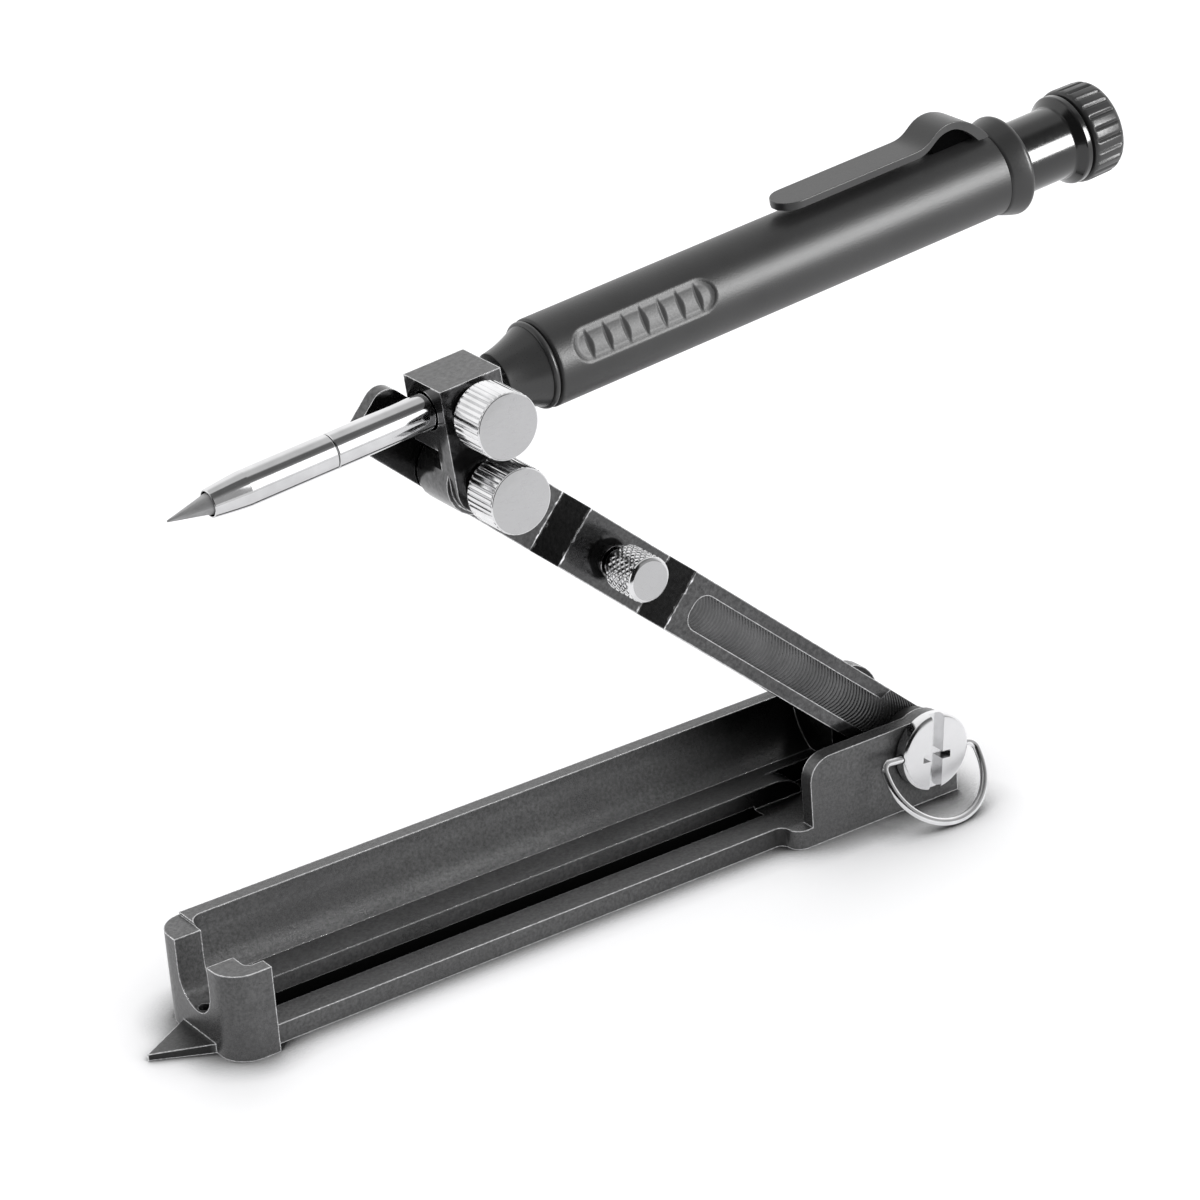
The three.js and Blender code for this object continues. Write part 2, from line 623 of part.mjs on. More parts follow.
// A thumb screw along Y: knurled head, neck that seats on the part, threaded shank into it
function thumbScrew(seat, tip, knob) {
  const neckEnd = seat - FIT_GAP;
  const headBack = seat - knob.standOff;
  const headFace = headBack - knob.length;
  const r = knob.diameter / 2;
  const valley = r - knob.knurl;
  const teeth = [];
  for (let i = 0; i < 2 * KNURL_TEETH; i += 1) {
    const radius = i % 2 ? valley : r;
    const angle = (i * Math.PI) / KNURL_TEETH;
    teeth.push([radius * Math.cos(angle), radius * Math.sin(angle)]);
  }
  const chamfered = turnedY([
    [0, headFace], [r - KNOB_CHAMFER, headFace], [r, headFace + KNOB_CHAMFER],
    [r, headBack - KNOB_CHAMFER], [r - KNOB_CHAMFER, headBack], [0, headBack],
  ], KNURL_TEETH);
  const head = knob.knurl > 0 ? prismY(outline(teeth), headFace, headBack).intersect(chamfered) : chamfered;
  const shank = SCREW_SHANK_DIAMETER / 2;
  return head.add(rodY(knob.neck / 2, headBack - knob.length / 2, neckEnd))
    .add(rodY(shank, headBack - knob.length / 2, tip));
}

const BIG_KNOB = {
  diameter: KNOB_DIAMETER, length: KNOB_LENGTH, standOff: KNOB_STAND_OFF,
  neck: KNOB_NECK_DIAMETER, knurl: KNURL_DEPTH,
};
const PAD_KNOB = {
  diameter: PAD_KNOB_DIAMETER, length: PAD_KNOB_LENGTH, standOff: PAD_KNOB_STAND_OFF,
  neck: SCREW_SHANK_DIAMETER, knurl: 0,
};

// Carriage with the swivel at its origin, local X along the pencil, local Z toward the clamp screw
function carriage() {
  const top = KNOB_SPACING + BLOCK_TOP_ABOVE_BORE;
  const block = box(-BLOCK_LEFT, BLOCK_RIGHT, carriageFace, carriageBack, BLOCK_FOOT, top);
  const plate = new THREE.Shape();
  plate.moveTo(-BLOCK_LEFT, BLOCK_FOOT + PLATE_THICKNESS);
  plate.lineTo(-BLOCK_LEFT, 0);
  plate.absarc(0, 0, BLOCK_LEFT, Math.PI, (3 * Math.PI) / 2, false);
  plate.absarc(BLOCK_RIGHT - BLOCK_LEFT, 0, BLOCK_LEFT, (3 * Math.PI) / 2, 2 * Math.PI, false);
  plate.lineTo(BLOCK_RIGHT, BLOCK_FOOT + PLATE_THICKNESS);
  const boss = rodY(SWIVEL_BOSS_RADIUS, carriageFace + PLATE_THICKNESS / 2, carriageBack, ROUND_SIDES);
  const hole = SCREW_SHANK_DIAMETER / 2 + FIT_GAP;
  const bore = rodX(TUBE_DIAMETER / 2 + FIT_GAP, -BLOCK_LEFT - OVERRUN, BLOCK_RIGHT + OVERRUN, ROUND_SIDES)
    .translate([0, pencilY, KNOB_SPACING]);
  return block.add(prismY(plate, carriageFace, carriageFace + PLATE_THICKNESS)).add(boss)
    .subtract(bore)
    .subtract(rodY(hole, carriageFace - OVERRUN, carriageBack + OVERRUN))
    .subtract(rodY(hole, carriageFace - OVERRUN, pencilY).translate([0, 0, KNOB_SPACING]));
}

const leadRadius = LEAD_DIAMETER / 2;
const tubeRadius = TUBE_DIAMETER / 2;
const tubeBore = TUBE_BORE / 2;
const barrelRadius = BARREL_DIAMETER / 2;
const colletRadius = leadRadius + SLIDE_GAP + COLLET_WALL;
const guideRadius = leadRadius + SLIDE_GAP + GUIDE_WALL;

function lead() {
  return turnedX([
    [0, LEAD_TIP_AT], [LEAD_POINT_FLAT, LEAD_TIP_AT], [leadRadius, LEAD_TIP_AT + LEAD_POINT_LENGTH],
    [leadRadius, LEAD_END_AT], [0, LEAD_END_AT],
  ], SMALL_SIDES);
}

// Nose tip: an ogive that closes on the lead, with a thin spigot into the tube behind it
function noseTip() {
  const rim = NOSE_RIM_DIAMETER / 2;
  const length = NOSE_SHOULDER_AT - NOSE_RIM_AT;
  const outer = [];
  for (let i = 0; i <= ARC_STEPS; i += 1) {
    const share = i / ARC_STEPS;
    const swell = Math.sin((share * Math.PI) / 2);
    outer.push([rim + (tubeRadius - rim) * swell, NOSE_RIM_AT + length * share]);
  }
  const spigot = (tubeRadius + tubeBore) / 2 - SLIDE_GAP / 2;
  outer.push([tubeRadius, NOSE_JOINT_AT - SLIDE_GAP], [spigot, NOSE_JOINT_AT - SLIDE_GAP]);
  outer.push([spigot, NOSE_JOINT_AT + NOSE_SPIGOT_LENGTH]);
  const throat = leadRadius + SLIDE_GAP;
  const bore = [
    [throat, NOSE_RIM_AT], [throat, NOSE_RIM_AT + NOSE_THROAT_LENGTH],
    [tubeBore, NOSE_SHOULDER_AT - SLIDE_GAP], [tubeBore, NOSE_JOINT_AT + NOSE_SPIGOT_LENGTH],
  ];
  return sleeveX(outer, bore, ROUND_SIDES);
}

function noseTube() {
  const socket = (tubeRadius + tubeBore) / 2 + SLIDE_GAP / 2;
  const step = NOSE_JOINT_AT + NOSE_SPIGOT_LENGTH + SLIDE_GAP;
  const outer = [[tubeRadius, NOSE_JOINT_AT], [tubeRadius, TUBE_END_AT]];
  const bore = [[socket, NOSE_JOINT_AT], [socket, step], [tubeBore, step], [tubeBore, TUBE_END_AT]];
  return sleeveX(outer, bore, ROUND_SIDES);
}

// Collet: a slit sleeve round the lead, open at the front
function collet() {
  const inner = leadRadius + SLIDE_GAP;
  const sleeve = sleeveX(
    [[colletRadius, COLLET_FRONT_AT], [colletRadius, COLLET_BACK_AT]],
    [[inner, COLLET_FRONT_AT], [inner, COLLET_BACK_AT]], SMALL_SIDES,
  );
  const half = COLLET_SLIT / 2;
  const end = COLLET_FRONT_AT + COLLET_SLIT_LENGTH;
  const far = colletRadius + OVERRUN;
  const slit = box(COLLET_FRONT_AT - OVERRUN, end, -far, far, -half, half);
  return sleeve.subtract(slit);
}

function leadGuide() {
  const inner = leadRadius + SLIDE_GAP;
  return sleeveX(
    [[guideRadius, COLLET_BACK_AT + FIT_GAP], [guideRadius, GUIDE_END_AT]],
    [[inner, COLLET_BACK_AT + FIT_GAP], [inner, GUIDE_END_AT]], SMALL_SIDES,
  );
}

// Front cone: hollow-sided, ending in a round bead against the barrel
function frontCone() {
  const front = CONE_FRONT_DIAMETER / 2;
  const bead = BEAD_DIAMETER / 2;
  const foot = bead - BEAD_RADIUS;
  const length = BEAD_AT - BEAD_RADIUS - CONE_FRONT_AT;
  const outer = [];
  for (let i = 0; i <= ARC_STEPS; i += 1) {
    const share = i / ARC_STEPS;
    const rise = CONE_WAIST_SHARE * share + (1 - CONE_WAIST_SHARE) * share ** 2;
    outer.push([front + (foot - front) * rise, CONE_FRONT_AT + length * share]);
  }
  for (let i = 0; i <= ARC_STEPS; i += 1) {
    const turn = (i * Math.PI) / ARC_STEPS;
    outer.push([foot + BEAD_RADIUS * Math.sin(turn), BEAD_AT - BEAD_RADIUS * Math.cos(turn)]);
  }
  const inner = tubeRadius + SLIDE_GAP;
  return sleeveX(outer, [[inner, CONE_FRONT_AT], [inner, BEAD_AT + BEAD_RADIUS]], FINE_SIDES);
}

function lens(breadth, length) {
  const shape = new THREE.Shape();
  shape.moveTo(0, -length / 2);
  shape.quadraticCurveTo(breadth, 0, 0, length / 2);
  shape.quadraticCurveTo(-breadth, 0, 0, -length / 2);
  return shape;
}

// One grip pad's cut, made on top of the barrel and then turned to its place round it
function gripCut() {
  const half = PAD_WIDTH / 2;
  const end = PAD_START_AT + PAD_LENGTH;
  const plan = new THREE.Shape();
  plan.absarc(PAD_START_AT + half, 0, half, Math.PI / 2, (3 * Math.PI) / 2, false);
  plan.absarc(end - half, 0, half, -Math.PI / 2, Math.PI / 2, false);
  const column = prismZ(plan, 0, barrelRadius + OVERRUN);
  const core = rodX(barrelRadius - PAD_DEPTH, PAD_START_AT - OVERRUN, end + OVERRUN, FINE_SIDES);
  let cut = column.subtract(core);
  for (let i = 0; i < NOTCH_COUNT; i += 1) {
    const notch = prismZ(lens(NOTCH_BREADTH, NOTCH_LENGTH), barrelRadius - PAD_DEPTH - NOTCH_DEPTH,
      barrelRadius + OVERRUN);
    cut = cut.add(notch.translate([NOTCH_FIRST_AT + i * NOTCH_PITCH, 0, 0]));
  }
  return cut;
}

function barrel() {
  const front = BARREL_FRONT_AT;
  const bore = BARREL_BORE / 2;
  const shaft = tubeRadius + SLIDE_GAP;
  const outer = [
    [barrelRadius - BARREL_FRONT_CHAMFER, front], [barrelRadius, front + BARREL_FRONT_CHAMFER],
    [barrelRadius, BARREL_END_AT],
  ];
  const inner = [
    [shaft, front], [shaft, TUBE_END_AT], [guideRadius + SLIDE_GAP, TUBE_END_AT + FIT_GAP],
    [guideRadius + SLIDE_GAP, BARREL_SHOULDER_AT], [bore, BARREL_SHOULDER_AT], [bore, BARREL_END_AT],
  ];
  let body = sleeveX(outer, inner, FINE_SIDES);
  const cut = gripCut();
  for (let i = 0; i < PAD_COUNT; i += 1) {
    body = body.subtract(cut.rotate([90 - PAD_ANGLE + (i * 360) / PAD_COUNT, 0, 0]));
  }
  return body;
}

// Collar: flares from the barrel's diameter to a rounded rear rim
function rearCollar() {
  const from = BARREL_END_AT + SLIDE_GAP;
  const to = from + COLLAR_LENGTH;
  const rim = COLLAR_DIAMETER / 2;
  const inner = BARREL_BORE / 2;
  const outer = [];
  for (let i = 0; i <= ARC_STEPS; i += 1) {
    const share = i / ARC_STEPS;
    const flare = (1 - Math.cos(share * Math.PI)) / 2;
    outer.push([barrelRadius + (rim - barrelRadius) * flare, from + (COLLAR_LENGTH - COLLAR_ROUND) * share]);
  }
  for (let i = 1; i <= ARC_STEPS; i += 1) {
    const turn = (i / ARC_STEPS) * (Math.PI / 2);
    outer.push([rim - COLLAR_ROUND * (1 - Math.cos(turn)), to - COLLAR_ROUND * (1 - Math.sin(turn))]);
  }
  return sleeveX(outer, [[inner, from], [inner, to]], FINE_SIDES);
}

// Clip: a flat tongue that arches near the collar and comes down to the barrel on a thick root
function clip() {
  const under = barrelRadius + CLIP_LIFT;
  const over = under + CLIP_THICKNESS;
  const rise = CLIP_ARCH_RISE;
  const reach = CLIP_ARCH_TOP_AT - CLIP_ARCH_START_AT;
  const drop = CLIP_ROOT_AT - CLIP_ARCH_TOP_AT;
  const shape = new THREE.Shape();
  shape.moveTo(CLIP_FRONT_AT, under);
  shape.lineTo(CLIP_ARCH_START_AT, under);
  shape.bezierCurveTo(
    CLIP_ARCH_START_AT + reach / 2, under, CLIP_ARCH_TOP_AT - reach / 2, under + rise,
    CLIP_ARCH_TOP_AT, under + rise,
  );
  shape.lineTo(CLIP_TOOTH_AT - CLIP_TOOTH_WIDTH / 2, under + rise - CLIP_LIFT / 4);
  shape.lineTo(CLIP_TOOTH_AT - CLIP_TOOTH_WIDTH / 2, under - CLIP_LIFT / 2);
  shape.lineTo(CLIP_TOOTH_AT + CLIP_TOOTH_WIDTH / 2, under - CLIP_LIFT / 2);
  shape.lineTo(CLIP_TOOTH_AT + CLIP_TOOTH_WIDTH / 2, under + rise - CLIP_LIFT);
  shape.lineTo(CLIP_ROOT_AT - CLIP_ROOT_THICKNESS, barrelRadius / 2);
  shape.lineTo(CLIP_ROOT_AT, barrelRadius / 2);
  shape.bezierCurveTo(
    CLIP_ROOT_AT, barrelRadius, CLIP_ARCH_TOP_AT + drop / 2, over + rise,
    CLIP_ARCH_TOP_AT, over + rise,
  );
  shape.bezierCurveTo(
    CLIP_ARCH_TOP_AT - reach / 2, over + rise, CLIP_ARCH_START_AT + reach / 2, over,
    CLIP_ARCH_START_AT, over,
  );
  shape.lineTo(CLIP_FRONT_AT, over);
  const half = CLIP_WIDTH / 2;
  const plan = new THREE.Shape();
  plan.absarc(CLIP_FRONT_AT + half, 0, half, Math.PI / 2, (3 * Math.PI) / 2, false);
  plan.lineTo(CLIP_ROOT_AT, -half);
  plan.lineTo(CLIP_ROOT_AT, half);
  return prismY(shape, -half, half).intersect(prismZ(plan, 0, barrelRadius * 2))
    .subtract(rodX(barrelRadius + SLIDE_GAP, CLIP_FRONT_AT - OVERRUN, CLIP_ROOT_AT + OVERRUN, FINE_SIDES));
}

// Push button: the glossy neck, its flange and the spigot that the cap sits on
function pushButton() {
  const r = BUTTON_DIAMETER / 2;
  const flange = BUTTON_FLANGE_DIAMETER / 2;
  const swell = BUTTON_SWELL_DIAMETER / 2;
  const spigot = BUTTON_SPIGOT_DIAMETER / 2;
  const socket = guideRadius + SLIDE_GAP;
  const end = buttonRear + BUTTON_SPIGOT_LENGTH;
  const outer = [
    [r, BUTTON_FRONT_AT], [r, BUTTON_FLANGE_AT - BUTTON_SWELL_LENGTH], [swell, BUTTON_FLANGE_AT],
    [flange, buttonRear - BUTTON_FLANGE_RIM], [flange, buttonRear], [spigot, buttonRear], [spigot, end],
  ];
  const inner = [
    [socket, BUTTON_FRONT_AT], [socket, GUIDE_END_AT + FIT_GAP],
    [leadRadius, GUIDE_END_AT + FIT_GAP * 2], [leadRadius, end],
  ];
  return sleeveX(outer, inner, FINE_SIDES);
}

class SpringPath extends THREE.Curve {
  constructor(from, to) {
    super();
    this.from = from;
    this.to = to;
  }

  getPoint(share, target = new THREE.Vector3()) {
    const turn = 2 * Math.PI * SPRING_TURNS * share;
    const r = (SPRING_DIAMETER - SPRING_WIRE_DIAMETER) / 2;
    return target.set(this.from + (this.to - this.from) * share, r * Math.cos(turn), r * Math.sin(turn));
  }
}

function returnSpring() {
  const wire = SPRING_WIRE_DIAMETER / 2;
  const path = new SpringPath(BARREL_SHOULDER_AT + wire + FIT_GAP, BUTTON_FRONT_AT - wire - FIT_GAP);
  return roundWire(path, wire, SPRING_SIDES, SPRING_TURNS * SPRING_STEPS_A_TURN);
}

// Cap: ribbed outside, a socket for the button's spigot in front and the sharpener's hole behind
function cap() {
  const r = CAP_DIAMETER / 2;
  const to = CAP_AT + CAP_LENGTH;
  const teeth = [];
  for (let i = 0; i < 4 * CAP_FLUTES; i += 1) {
    const radius = i % 4 < 3 ? r : r - CAP_FLUTE_DEPTH;
    const angle = (i * Math.PI) / (2 * CAP_FLUTES);
    teeth.push([radius * Math.cos(angle), radius * Math.sin(angle)]);
  }
  const chamfered = turnedX([
    [0, CAP_AT], [r - CAP_CHAMFER, CAP_AT], [r, CAP_AT + CAP_CHAMFER],
    [r, to - CAP_CHAMFER], [r - CAP_CHAMFER, to], [0, to],
  ], 2 * CAP_FLUTES);
  const socket = BUTTON_SPIGOT_DIAMETER / 2 + SLIDE_GAP;
  const depth = buttonRear + BUTTON_SPIGOT_LENGTH + SLIDE_GAP;
  return prismX(outline(teeth), CAP_AT, to).intersect(chamfered)
    .subtract(rodX(socket, CAP_AT - OVERRUN, depth))
    .subtract(rodX(CAP_HOLE_DIAMETER / 2, CAP_AT, to + OVERRUN))
    .subtract(bladeBox(FIT_GAP / 2, OVERRUN));
}

// The blade stands in a slot beside the hole, its edge along the hole's wall
function bladeBox(gap, out) {
  const to = CAP_AT + CAP_LENGTH;
  const from = to - BLADE_WIDTH;
  const near = CAP_HOLE_DIAMETER / 2 - BLADE_THICKNESS;
  const half = BLADE_LENGTH / 2;
  return box(from - gap, to + out, near - gap, near + BLADE_THICKNESS + gap, -half - gap, half + gap);
}

// The pencil's pieces stand in a group whose X is the pencil's axis
const pencil = new THREE.Group();
pencil.position.set(0, pencilY, KNOB_SPACING);
pencil.add(
  mesh('lead', lead(), LOOKS.graphite),
  mesh('nose_tip', noseTip(), LOOKS.chrome),
  mesh('nose_tube', noseTube(), LOOKS.chrome),
  mesh('collet', collet(), LOOKS.brass),
  mesh('lead_guide_tube', leadGuide(), LOOKS.brass),
  mesh('front_cone', frontCone(), LOOKS.blackPlastic),
  mesh('pencil_barrel', barrel(), LOOKS.blackPlastic),
  mesh('rear_collar', rearCollar(), LOOKS.blackPlastic),
  mesh('pocket_clip', clip(), LOOKS.blackPlastic),
  mesh('push_button', pushButton(), LOOKS.glossPlastic),
  mesh('return_spring', returnSpring(), LOOKS.steel),
  mesh('sharpener_cap', cap(), LOOKS.blackPlastic),
  mesh('sharpener_blade', bladeBox(0, 0), LOOKS.steel),
);

// The carriage turns about the lock knob's axis, so its group stands there on the arm
const swivel = new THREE.Group();
swivel.position.set(
  -swivelAt * Math.cos(ARM_ANGLE * degrees), 0, HINGE_HEIGHT + swivelAt * Math.sin(ARM_ANGLE * degrees),
);
swivel.rotation.y = -PENCIL_PITCH * degrees;
const clampKnob = mesh(
  'pencil_clamp_knob', thumbScrew(carriageFace, pencilY - tubeRadius - FIT_GAP, BIG_KNOB), LOOKS.nickel,
);
clampKnob.position.z = KNOB_SPACING;
swivel.add(mesh('carriage', carriage(), LOOKS.glossBlack), clampKnob, pencil);
swivel.add(mesh('carriage_lock_knob', thumbScrew(carriageFace, armBack, BIG_KNOB), LOOKS.nickel));

// The arm's group turns its length from the hinge toward the tray's front and up
const armGroup = new THREE.Group();
armGroup.position.z = HINGE_HEIGHT;
armGroup.rotation.y = Math.PI + ARM_ANGLE * degrees;
const padScrew = mesh('pad_thumb_screw', thumbScrew(padFace, armBack, PAD_KNOB), LOOKS.nickel);
padScrew.position.x = PAD_SCREW_AT;
armGroup.add(mesh('arm', arm(), LOOKS.blackMetal), padScrew);

// The hinge screw is turned a little, and its ring leans out until the bow rests on the ground
const hinge = new THREE.Group();
hinge.position.z = HINGE_HEIGHT;
hinge.rotation.y = HINGE_SCREW_TURN * degrees;
const ringWire = roundWire(new RingPath(), RING_WIRE_DIAMETER / 2, WIRE_SIDES, RING_STEPS);
const ring = mesh('screw_d_ring', ringWire, LOOKS.chrome);
ring.position.set(-RING_SHIFT, ringAxisY(), 0);
ring.rotation.x = -RING_TILT * degrees;
hinge.add(mesh('hinge_screw', hingeScrew(), LOOKS.nickel), ring);

const spacer = mesh('hinge_spacer', hingeSpacer(), LOOKS.nylon);
spacer.position.z = HINGE_HEIGHT;

const gauge = new THREE.Group();
gauge.add(mesh('base_tray', tray(), LOOKS.blackMetal), hinge, spacer, armGroup, swivel);

export default gauge;
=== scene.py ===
import math

import bmesh
import bpy
import numpy as np
from mathutils import Matrix, Vector


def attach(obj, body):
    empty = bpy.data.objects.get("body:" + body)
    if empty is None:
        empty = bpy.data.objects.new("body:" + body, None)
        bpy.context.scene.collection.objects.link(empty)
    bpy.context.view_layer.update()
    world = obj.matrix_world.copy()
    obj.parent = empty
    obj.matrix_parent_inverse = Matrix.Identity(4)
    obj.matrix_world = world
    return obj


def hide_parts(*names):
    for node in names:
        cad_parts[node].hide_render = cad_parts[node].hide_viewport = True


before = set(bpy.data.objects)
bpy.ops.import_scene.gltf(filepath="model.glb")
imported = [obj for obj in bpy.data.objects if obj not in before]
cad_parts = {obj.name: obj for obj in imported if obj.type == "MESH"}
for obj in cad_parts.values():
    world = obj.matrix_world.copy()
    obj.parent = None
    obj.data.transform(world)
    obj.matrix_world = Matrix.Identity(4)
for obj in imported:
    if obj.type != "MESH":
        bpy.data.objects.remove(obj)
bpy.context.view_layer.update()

# Lengths are in millimetres here and become metres when a mesh or matrix is made.
MM = 0.001

# Places that the pieces share with the solids. A body's own X runs along it and its screws along Y
HINGE_HEIGHT = 8.2
HINGE_SCREW_TURN = 6
ARM_ANGLE = 42
SWIVEL_AT = 90.2
PAD_SCREW_AT = 59.8
PENCIL_PITCH = 5.2
KNOB_SPACING = 10.2
PENCIL_Y = -8.2
ARM_BACK = -1.7
PAD_FACE = -5.5
EYE_FACE = -6.1
CARRIAGE_FACE = -12.4
EAR_OUTER = -10.7


def turn_y(degrees):
    return Matrix.Rotation(math.radians(degrees), 4, "Y")


def shift(x, y, z):
    return Matrix.Translation((x * MM, y * MM, z * MM))


AT_TRAY = Matrix.Identity(4)
AT_HINGE = shift(0, 0, HINGE_HEIGHT) @ turn_y(HINGE_SCREW_TURN)
AT_ARM = shift(0, 0, HINGE_HEIGHT) @ turn_y(180 + ARM_ANGLE)
AT_PAD_SCREW = AT_ARM @ shift(PAD_SCREW_AT, 0, 0)
ARM_SLOPE = math.radians(ARM_ANGLE)
SWIVEL_X = -SWIVEL_AT * math.cos(ARM_SLOPE)
SWIVEL_Z = HINGE_HEIGHT + SWIVEL_AT * math.sin(ARM_SLOPE)
AT_SWIVEL = shift(SWIVEL_X, 0, SWIVEL_Z) @ turn_y(-PENCIL_PITCH)
AT_CLAMP = AT_SWIVEL @ shift(0, 0, KNOB_SPACING)
AT_PENCIL = AT_SWIVEL @ shift(0, PENCIL_Y, KNOB_SPACING)


# Node helpers
class Tree:
    """A node tree, with short calls for its nodes."""

    def __init__(self, tree):
        self.tree = tree
        tree.nodes.clear()

    def node(self, kind, inputs=(), **settings):
        """A new node's outputs. inputs gives an output or a plain value for an input's name or number."""
        node = self.tree.nodes.new(kind)
        for key, value in settings.items():
            setattr(node, key, value)
        for key, value in dict(inputs).items():
            if isinstance(value, bpy.types.NodeSocket):
                self.tree.links.new(value, node.inputs[key])
            elif value is not None:
                node.inputs[key].default_value = value
        return node.outputs

    def math(self, kind, *values):
        return self.node("ShaderNodeMath", enumerate(values), operation=kind)[0]

    def times(self, a, b):
        return self.math("MULTIPLY", a, b)

    def plus(self, a, b):
        return self.math("ADD", a, b)

    def minus(self, a, b):
        return self.math("SUBTRACT", a, b)

    def larger(self, a, b):
        return self.math("MAXIMUM", a, b)

    def seen_rays(self):
        """1 for camera, glossy and transmission rays."""
        path = self.node("ShaderNodeLightPath")
        return self.larger(self.larger(path["Is Camera Ray"], path["Is Glossy Ray"]),
                           path["Is Transmission Ray"])


class Look(Tree):
    """A material. Lengths given to its calls are in mm."""

    def __init__(self, name):
        self.material = bpy.data.materials.new(name)
        self.material.use_nodes = True
        super().__init__(self.material.node_tree)

    def finished(self, **values):
        """The material, with these values in its shader. Their names have _ for a space."""
        inputs = {name.replace("_", " "): value for name, value in values.items()}
        shader = self.node("ShaderNodeBsdfPrincipled", inputs)
        self.node("ShaderNodeOutputMaterial", {"Surface": shader[0]})
        return self.material

    def place(self, scale=(1, 1, 1)):
        """The piece's own coordinates, in metres, stretched by scale."""
        coords = self.node("ShaderNodeTexCoord")["Object"]
        return self.node("ShaderNodeMapping", {"Vector": coords, "Scale": scale})[0]

    def axes(self):
        """The piece's own X, Y and Z, in metres."""
        return self.node("ShaderNodeSeparateXYZ", {0: self.place()})

    def noise(self, scale, detail=4.0, rough=0.55, at=None):
        """Noise whose features are about scale across."""
        return self.node("ShaderNodeTexNoise", {
            "Vector": at or self.place(), "Scale": 1 / (scale * MM), "Detail": detail, "Roughness": rough,
        })["Fac"]

    def grains(self, scale):
        """Round cells about scale across, dark in their middles."""
        inputs = {"Vector": self.place(), "Scale": 1 / (scale * MM)}
        return self.node("ShaderNodeTexVoronoi", inputs)["Distance"]

    def remap(self, value, low, high, to_low=0.0, to_high=1.0):
        """The range from low to high, stretched to another range and held inside it."""
        return self.node("ShaderNodeMapRange", enumerate((value, low, high, to_low, to_high)))[0]

    def mix(self, share, a, b):
        """Colour a at share 0, colour b at share 1. 6 and 7 are the node's colour inputs."""
        return self.node("ShaderNodeMix", {0: share, 6: a, 7: b}, data_type="RGBA")[2]

    def mix_values(self, share, a, b):
        """Value a at share 0, the plain number b at share 1."""
        return self.plus(self.times(self.minus(b, a), share), a)

    def bump(self, height, strength, depth, under=None):
        """depth is the height's full range."""
        inputs = {"Height": height, "Strength": strength, "Distance": depth * MM, "Normal": under}
        return self.node("ShaderNodeBump", inputs)["Normal"]

    def open_share(self, reach, low, high, least=0.0):
        """1 on open surfaces, down to least in corners and hollows."""
        open_sky = self.node("ShaderNodeAmbientOcclusion", {"Distance": reach * MM}, samples=4)["AO"]
        return self.remap(open_sky, low, high, least, 1.0)

    def lines_across(self, places, width):
        """Thin ragged lines across the arm's near face at places along its X, broken up by wear."""
        parts = self.axes()
        ragged = self.remap(self.noise(0.9, detail=3), 0.3, 0.7, -0.2 * MM, 0.2 * MM)
        along = self.plus(parts["X"], ragged)
        total = None
        for place in places:
            away = self.math("ABSOLUTE", self.minus(along, place * MM))
            line = self.remap(away, width * 0.4 * MM, width * MM, 1.0, 0.0)
            total = line if total is None else self.larger(total, line)
        patchy = self.remap(self.noise(1.6, detail=2), 0.42, 0.58, 0.1, 1.0)
        near_face = self.remap(parts["Y"], (ARM_BACK - 1) * MM, (ARM_BACK - 0.6) * MM, 1.0, 0.0)
        return self.times(self.times(total, patchy), near_face)

    def edges(self, radius):
        """1 on convex and concave edges, 0 on open faces."""
        soft = self.node("ShaderNodeBevel", {"Radius": radius * MM}, samples=6)[0]
        plain = self.node("ShaderNodeNewGeometry")["Normal"]
        same = self.node("ShaderNodeVectorMath", {0: soft, 1: plain}, operation="DOT_PRODUCT")["Value"]
        return self.remap(self.minus(1.0, same), 0.01, 0.08)


def grey(value):
    """A neutral colour with a trace of blue."""
    return (value, value, value * 1.01, 1)


# Looks
WORN_EDGE = 0.27
WORN_ROUGH = 0.13
FOLD_WIDTH = 0.22

# Places along the arm where its near face folds down to the pad and to the thin end
ARM_FOLDS = (48.7, 52.5, 67.9, 71.7)

# Painted shade darkens the tray toward the hinge, behind the near ear, and on top of the marking point's
# root
HINGE_SHADE_START = -52
HINGE_SHADE_FULL = -20
EAR_INNER = -8.6
ROOT_SHADE_FULL = -109.7
ROOT_SHADE_END = -109.2
POINT_TOP = 1.6
POINT_CLEAR = 2.2
SHADE_REACH = 22


def tray_painted_shade(n):
    """Painted shade for the tray: 1 in the places where shade is painted, less where they are open to the
    sides.
    """
    parts = n.axes()
    toward_hinge = n.remap(parts["X"], HINGE_SHADE_START * MM, HINGE_SHADE_FULL * MM)
    behind_ear = n.remap(parts["Y"], EAR_INNER * MM, (EAR_INNER + 0.4) * MM)
    on_point = n.remap(parts["Z"], POINT_TOP * MM, POINT_CLEAR * MM, 1.0, 0.0)
    before_posts = n.remap(parts["X"], ROOT_SHADE_FULL * MM, ROOT_SHADE_END * MM, 1.0, 0.0)
    places = n.larger(n.times(toward_hinge, behind_ear), n.times(on_point, before_posts))
    closed = n.minus(1.0, n.open_share(SHADE_REACH, 0.52, 0.92))
    return n.times(places, closed)


